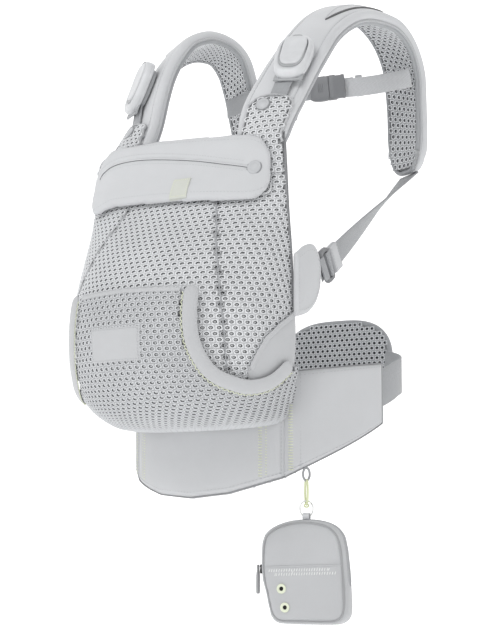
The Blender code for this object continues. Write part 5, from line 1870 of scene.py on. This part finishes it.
def make_links():
    """Cord loop, snap hook with gate and swivel, split ring and hanging tab. Gives the pouch's frame."""
    tangent, radial = ring_point(HANG_ANGLE + 90, 0, 1.0), ring_point(HANG_ANGLE, 0, 1.0)
    loop_top, loop_low, hook_low, ring_low = HANG_Z
    wire_ring("belt_cord_loop", oval_path(7, loop_low - loop_top, 1.8), hang_frame(loop_top, tangent),
              round_section(1.15, 10), TAPE, nodes="belt_loop")
    low, top = hook_low - loop_low - 1.2, 3.2
    hook = oval_path(HOOK_WIDTH, low, top, HOOK_GAP[1], HOOK_GAP[0] + 360, 44)
    place = hang_frame(loop_low, radial)
    wire_ring("pouch_snap_hook", hook, place, round_section(1.1, 10), ACCENT, closed=False, body="hook",
              nodes="snap_hook")
    ends = oval_path(HOOK_WIDTH, low, top, *HOOK_GAP, 2)
    span = np.linspace(0.06, 0.94, 12)[:, None]
    gate = ends[1] + (ends[0] - ends[1]) * span
    wire_ring("pouch_hook_gate", gate, place, round_section(1.0, 10, 0.8), ACCENT, closed=False, body="gate",
              nodes="hook_gate")
    eye = oval_path(4.4, low - 2.6, low + 0.6, count=24)
    wire_ring("pouch_hook_swivel", eye, hang_frame(loop_low, tangent), round_section(0.75, 8), ACCENT,
              body="hook")
    face = hang_frame(hook_low, ring_point(POUCH_FACING + 90, 0, 1.0))
    wire_ring("pouch_split_ring", oval_path(14, ring_low - hook_low, 2.6, count=56), face,
              round_section(0.8, 10), STEEL, body="pouch", nodes="pouch_ring")
    turned = face.copy()
    turned[1], turned[2] = face[2], -face[1]
    drop = ring_low - hook_low
    wire_ring("pouch_hang_tab", oval_path(4.6, drop - 2.6, drop + 3.6, count=28), turned,
              [(-0.5, -3.5), (-0.5, 3.5), (0.5, 3.5), (0.5, -3.5)], TAPE_LIGHT, body="pouch",
              nodes="pouch_tab")
    return face


# Two metal eyelets on the pouch's front, as (x, drop below its middle), and their (radius, height) profiles.
POUCH_EYELETS = ((-22.5, 16.7), (-18.5, 35.2))
EYELET_PROFILE = ((4.6, 0.0), (5.0, 0.5), (4.7, 1.0), (4.0, 1.2), (3.0, 1.0), (2.2, 0.6), (2.0, -0.4))
# The hole's profile closes it with a near-black disc: painted shade.
EYELET_HOLE = ((2.2, -0.2), (2.2, 0.35), (0.1, 0.2))

# Outline of the pouch, which hangs a little askew, clockwise from its top middle in parts of its size.
POUCH_OUTLINE = np.array([
    (0.0, 0.5), (0.09, 0.498), (0.167, 0.49), (0.27, 0.468), (0.35, 0.431), (0.40, 0.385), (0.43, 0.333),
    (0.455, 0.22), (0.468, 0.1), (0.477, 0.0), (0.49, -0.16), (0.5, -0.324), (0.489, -0.42),
    (0.445, -0.475), (0.374, -0.5), (0.2, -0.502), (0.04, -0.502), (-0.15, -0.502), (-0.293, -0.5),
    (-0.35, -0.473), (-0.39, -0.42), (-0.425, -0.30), (-0.456, -0.186), (-0.482, -0.1), (-0.497, -0.02),
    (-0.5, 0.08), (-0.497, 0.2), (-0.486, 0.3), (-0.462, 0.36), (-0.41, 0.408), (-0.31, 0.453),
    (-0.2, 0.482), (-0.1, 0.496),
])


def make_pouch(face):
    """Soft pouch with a piped front panel, a patch pocket, a zip round its side, slider and puller."""
    wide, high, _ = POUCH
    middle = -POUCH_DROP - high / 2
    loop = np.vstack([POUCH_OUTLINE, POUCH_OUTLINE[:1]]) @ np.array([[wide, 0, 0], [0, 0, high]])
    ring = along_path(loop, np.linspace(0, arc_lengths(loop)[-1], 97)[:-1])[:, [0, 2]]
    levels = ((-11.6, 0.95), (-10.4, 0.985), (-6.0, 1.0), (6.0, 1.0), (10.4, 0.985), (11.6, 0.95))
    rings = []
    for y, scale in levels:
        shape = ring * scale
        rings.append(xyz(shape[:, 0], y, shape[:, 1] + middle))
    points, faces = loft_mesh(rings)
    points, faces = cloth_skin(points, faces, 3.2, 2.0, 1.6, smooth=3)
    sag = np.clip((middle - points[:, 2]) / (high / 2), 0, 1)
    points[:, 1] *= 0.90 + 0.16 * sag
    points[:, 1] += 0.5 * ripple(points, 16.0, 1.0) + 0.25 * ripple(points, 7.0, 3.0)
    seam_ring = xyz(ring[:, 0] * 0.93, 0, ring[:, 1] * 0.94 + middle)
    skin = Skin(points, faces)
    front, back = vec(0, -1, 0), vec(0, 1, 0)
    inset, facing = skin.seated(np.vstack([seam_ring, seam_ring[:1]]), front, 0.0, 20.0)
    rear, rear_facing = skin.seated(np.vstack([seam_ring, seam_ring[:1]]), back, 0.0, 20.0)
    for line, toward in ((inset, front), (rear, back)):
        near, _ = nearest(points, line)
        gap = np.linalg.norm(points - near, axis=1)
        points = points - toward * (1.0 * np.exp(-((gap / 2.2) ** 2)))[:, None]
    pouch = piece("pouch_bag", placed(face, points), faces, BAND_CLOTH, "pouch", nodes="pouch_body",
                  turn=True)

    for name, line, line_facing in (("front", inset, facing), ("back", rear, rear_facing)):
        path, normals = placed(face, line[:-1] - line_facing[:-1] * 0.25), turned_by(face, line_facing[:-1])
        sweep(f"pouch_piping_{name}", path, normals, round_section(0.95, 8), PIPING, body="pouch",
              closed=True)
    skin = Skin(points, faces)
    stitched = xyz(ring[:, 0] * 0.89, 0, ring[:, 1] * 0.90 + middle)
    stitched, stitch_facing = skin.seated(np.vstack([stitched, stitched[:1]]), front, 0.05, 20.0)
    stitches = stitches_mesh(stitched, stitch_facing, 2.2, 1.2, 0.25, 0.0)
    gathered("pouch_topstitch", [stitches], THREAD, body="pouch", place=face)

    # Mouth of the patch pocket, with two rows of short stitches on it.
    across = np.linspace(-POCKET_HALF, POCKET_HALF, 70)
    mouth = xyz(across, 0, middle + 6.0 + POCKET_TILT * across)
    mouth, mouth_facing = skin.seated(mouth, front, 0.3, 20.0)
    sweep("pouch_pocket_hem", placed(face, mouth), turned_by(face, mouth_facing), tape_section(1.7, 1.0, 0.4),
          FABRIC_SHADE, body="pouch")
    ticks = [(x, 0, middle + drop + POCKET_TILT * x) for drop in (2.2, -1.8) for x in np.arange(-36, 36, 2.7)]
    ticks, tick_facing = skin.seated(np.array(ticks, float), front, 0.0, 20.0)
    slant = np.broadcast_to(unit(vec(0.25, 0, 1)), ticks.shape)
    stitches = thread_pills(ticks, slant, tick_facing, 3.3, 0.42, 0.1)
    gathered("pouch_tick_stitches", [stitches], PALE_THREAD, body="pouch", place=face)
    outward = unit(turned_by(face, front))
    for number, (x, drop) in enumerate(POUCH_EYELETS):
        z = middle - drop
        spot, _ = skin.seated(np.array([(x, 0, z), (x + 0.5, 0, z)]), front, 0.2, 20.0)
        place = np.array([placed(face, spot[0]), face[1], np.cross(outward, face[1]), outward])
        loft(f"pouch_eyelet_{number}", round_rings(EYELET_PROFILE), place, PALE_METAL, body="pouch")
        loft(f"pouch_eyelet_hole_{number}", round_rings(EYELET_HOLE), place, HOLE, body="pouch")
    make_zip(face, ring, middle, skin)


def make_zip(face, ring, middle, skin):
    """Zip along the pouch's side and top, with coil teeth, slider and puller."""
    loop = np.roll(ring, -int(np.argmin(ring[:, 0])), axis=0)
    path = np.vstack([loop, loop[:1]])
    path = xyz(path[:, 0], 0, path[:, 1] + middle)
    total = arc_lengths(path)[-1]
    # From the lower side of the slider's edge, over the top, to the far side.
    if along_path(path, np.array([total * 0.2]))[0, 2] < middle:
        path = path[::-1]
    edge = along_path(path, np.linspace(0, total * 0.5, 120))
    low = along_path(path, np.linspace(total * 0.93, total, 18))[:-1]
    route = np.vstack([low, edge])
    out = route - np.array((0, 0, middle))
    normals = unit(np.gradient(route, axis=0))
    normals = unit(np.cross(normals, vec(0, 1, 0)))
    normals *= np.sign((normals * out).sum(1, keepdims=True))
    route, _ = skin.seated(route, normals, 0.0, 12.0)
    normals = unit(normals * (1, 0, 1))
    ends = np.clip(np.minimum(np.arange(len(route)), np.arange(len(route))[::-1]) / 4, 0.15, 1)
    sweep("pouch_zip_tape", placed(face, route - normals * 0.25), turned_by(face, normals),
          tape_section(7.6, 1.2, 0.4), ZIP_TAPE, scale=np.stack([ends, ends], -1), body="pouch")
    places = np.arange(1.0, arc_lengths(route)[-1] - 1, 1.5)
    middle_points = along_path(route, places) + along_path_normals(route, normals, places) * 0.3
    facing = along_path_normals(route, normals, places)
    run = np.broadcast_to(vec(0, 1, 0), middle_points.shape)
    teeth = thread_pills(middle_points, run, facing, 2.6, 0.5, 0.0)
    gathered("pouch_zip_teeth", [teeth], ZIP_COIL, body="pouch", place=face)

    wide = POUCH[0]
    slider = np.array([placed(face, vec(-wide / 2 - 1.2, 0, middle + 2.5)), face[1], face[2], vec(0, 0, 1)])
    profile = [(3.0, 5.0, -4.6), (3.9, 6.4, -3.8), (4.2, 6.8, -0.8), (3.6, 5.4, 1.0), (4.2, 6.8, 3.0),
               (3.4, 5.8, 4.6)]
    loft("zip_slider_body", [rounded_ring(a, b, z, 4, 24) for a, b, z in profile], slider, BLACK,
         body="zip_slider", nodes="zipper_slider")
    hinge = slider.copy()
    hinge[0] = placed(slider, vec(-4.7, 0, 3.5))
    profile = [(2.0, 3.0, 0.8), (2.6, 3.6, -1.0), (2.2, 3.0, -4.5), (2.9, 4.2, -7.0), (3.4, 5.3, -10.0),
               (3.5, 5.6, -20.0), (3.4, 5.4, -26.5), (2.8, 4.4, -28.3)]
    loft("zip_pull_tab", [rounded_ring(a, b, z, 3, 24) for a, b, z in profile], hinge, PULL_GREY,
         body="zip_puller", nodes="zipper_puller")


# ---------------------------------------------------------------- small parts beside the head support

def make_side_elastics():
    """Flat oval of elastic on the mesh beside the head support."""
    turn = np.radians(np.arange(60) * 6.0)
    middle_z, middle_s = 211.0, 0.66
    z = middle_z + 6.5 * np.sin(turn)
    s = middle_s + 0.062 * np.cos(turn)
    path, normals = body_line(s, z, 2.0)
    sweep("side_elastic_loop", path, normals, tape_section(2.2, 1.8, 0.5), TAPE_LIGHT, closed=True)


# ---------------------------------------------------------------- studio

def make_studio():
    """Seamless pale floor and backdrop, soft lights all round, and the camera."""
    floor = bpy.data.meshes.new("studio_floor")
    turn = np.linspace(0, math.pi / 2, 20)
    reach, rise, level = 4.0, 1.2, -0.20
    profile = [(-6.0, level), (reach - rise, level)]
    profile += [(reach - rise + rise * math.sin(a), level + rise - rise * math.cos(a)) for a in turn[1:]]
    profile += [(reach, 5.0)]
    direction = unit(vec(-math.sin(math.radians(VIEW_AZIMUTH)), math.cos(math.radians(VIEW_AZIMUTH)), 0))
    aside = np.cross(direction, vec(0, 0, 1))
    points = [direction * along + aside * side * 7 + vec(0, 0, height)
              for side in (-1, 1) for along, height in profile]
    count = len(profile)
    faces = [[i, i + 1, count + i + 1, count + i] for i in range(count - 1)]
    floor.from_pydata([tuple(p) for p in points], [], faces)
    floor.materials.append(STUDIO_WHITE)
    floor.shade_smooth()
    made = bpy.data.objects.new("studio_floor", floor)
    bpy.context.scene.collection.objects.link(made)

    world = bpy.data.worlds.new("studio_world")
    world.use_nodes = True
    world.node_tree.nodes["Background"].inputs["Color"].default_value = (1, 1, 1, 1)
    world.node_tree.nodes["Background"].inputs["Strength"].default_value = WORLD_STRENGTH
    bpy.context.scene.world = world
    for name, angle, rise, distance, size, power in LIGHTS:
        turn, tilt = math.radians(angle), math.radians(rise)
        level = math.cos(tilt)
        spot = vec(math.sin(turn) * level, -math.cos(turn) * level, math.sin(tilt)) * distance
        spot = spot + STUDIO_CENTRE
        lamp = bpy.data.lights.new(name, "AREA")
        lamp.shape, lamp.size, lamp.energy = "DISK", size, power
        made = bpy.data.objects.new(name, lamp)
        made.location = spot
        made.rotation_euler = (Vector(STUDIO_CENTRE) - Vector(spot)).to_track_quat("-Z", "Y").to_euler()
        bpy.context.scene.collection.objects.link(made)
    camera = bpy.data.cameras.new("camera")
    camera.lens, camera.sensor_width = LENS, 36.0
    made = bpy.data.objects.new("camera", camera)
    made.location = CAMERA_AT
    made.rotation_euler = (Vector(LOOK_AT) - Vector(CAMERA_AT)).to_track_quat("-Z", "Y").to_euler()
    bpy.context.scene.collection.objects.link(made)
    bpy.context.scene.camera = made
    bpy.context.scene.view_settings.view_transform = "Standard"


make_studio()
make_body_panels()
make_body_seams()
make_gussets()
make_bindings()
make_patch()
make_belt()
make_belt_stitching()
make_belly_pad()
make_lumbar()
make_waist_straps()
make_cross_strap()
for number, word in SIDES:
    make_strap_shell(number, word)
    make_strap_lining(number, word)
    make_tongue(number, word)
    make_strap_buckle(number, word)
    make_strap_window(number, word)
    make_side_anchor(number, word)
make_collar()
make_collar_hinge()
make_side_elastics()
make_pouch(make_links())
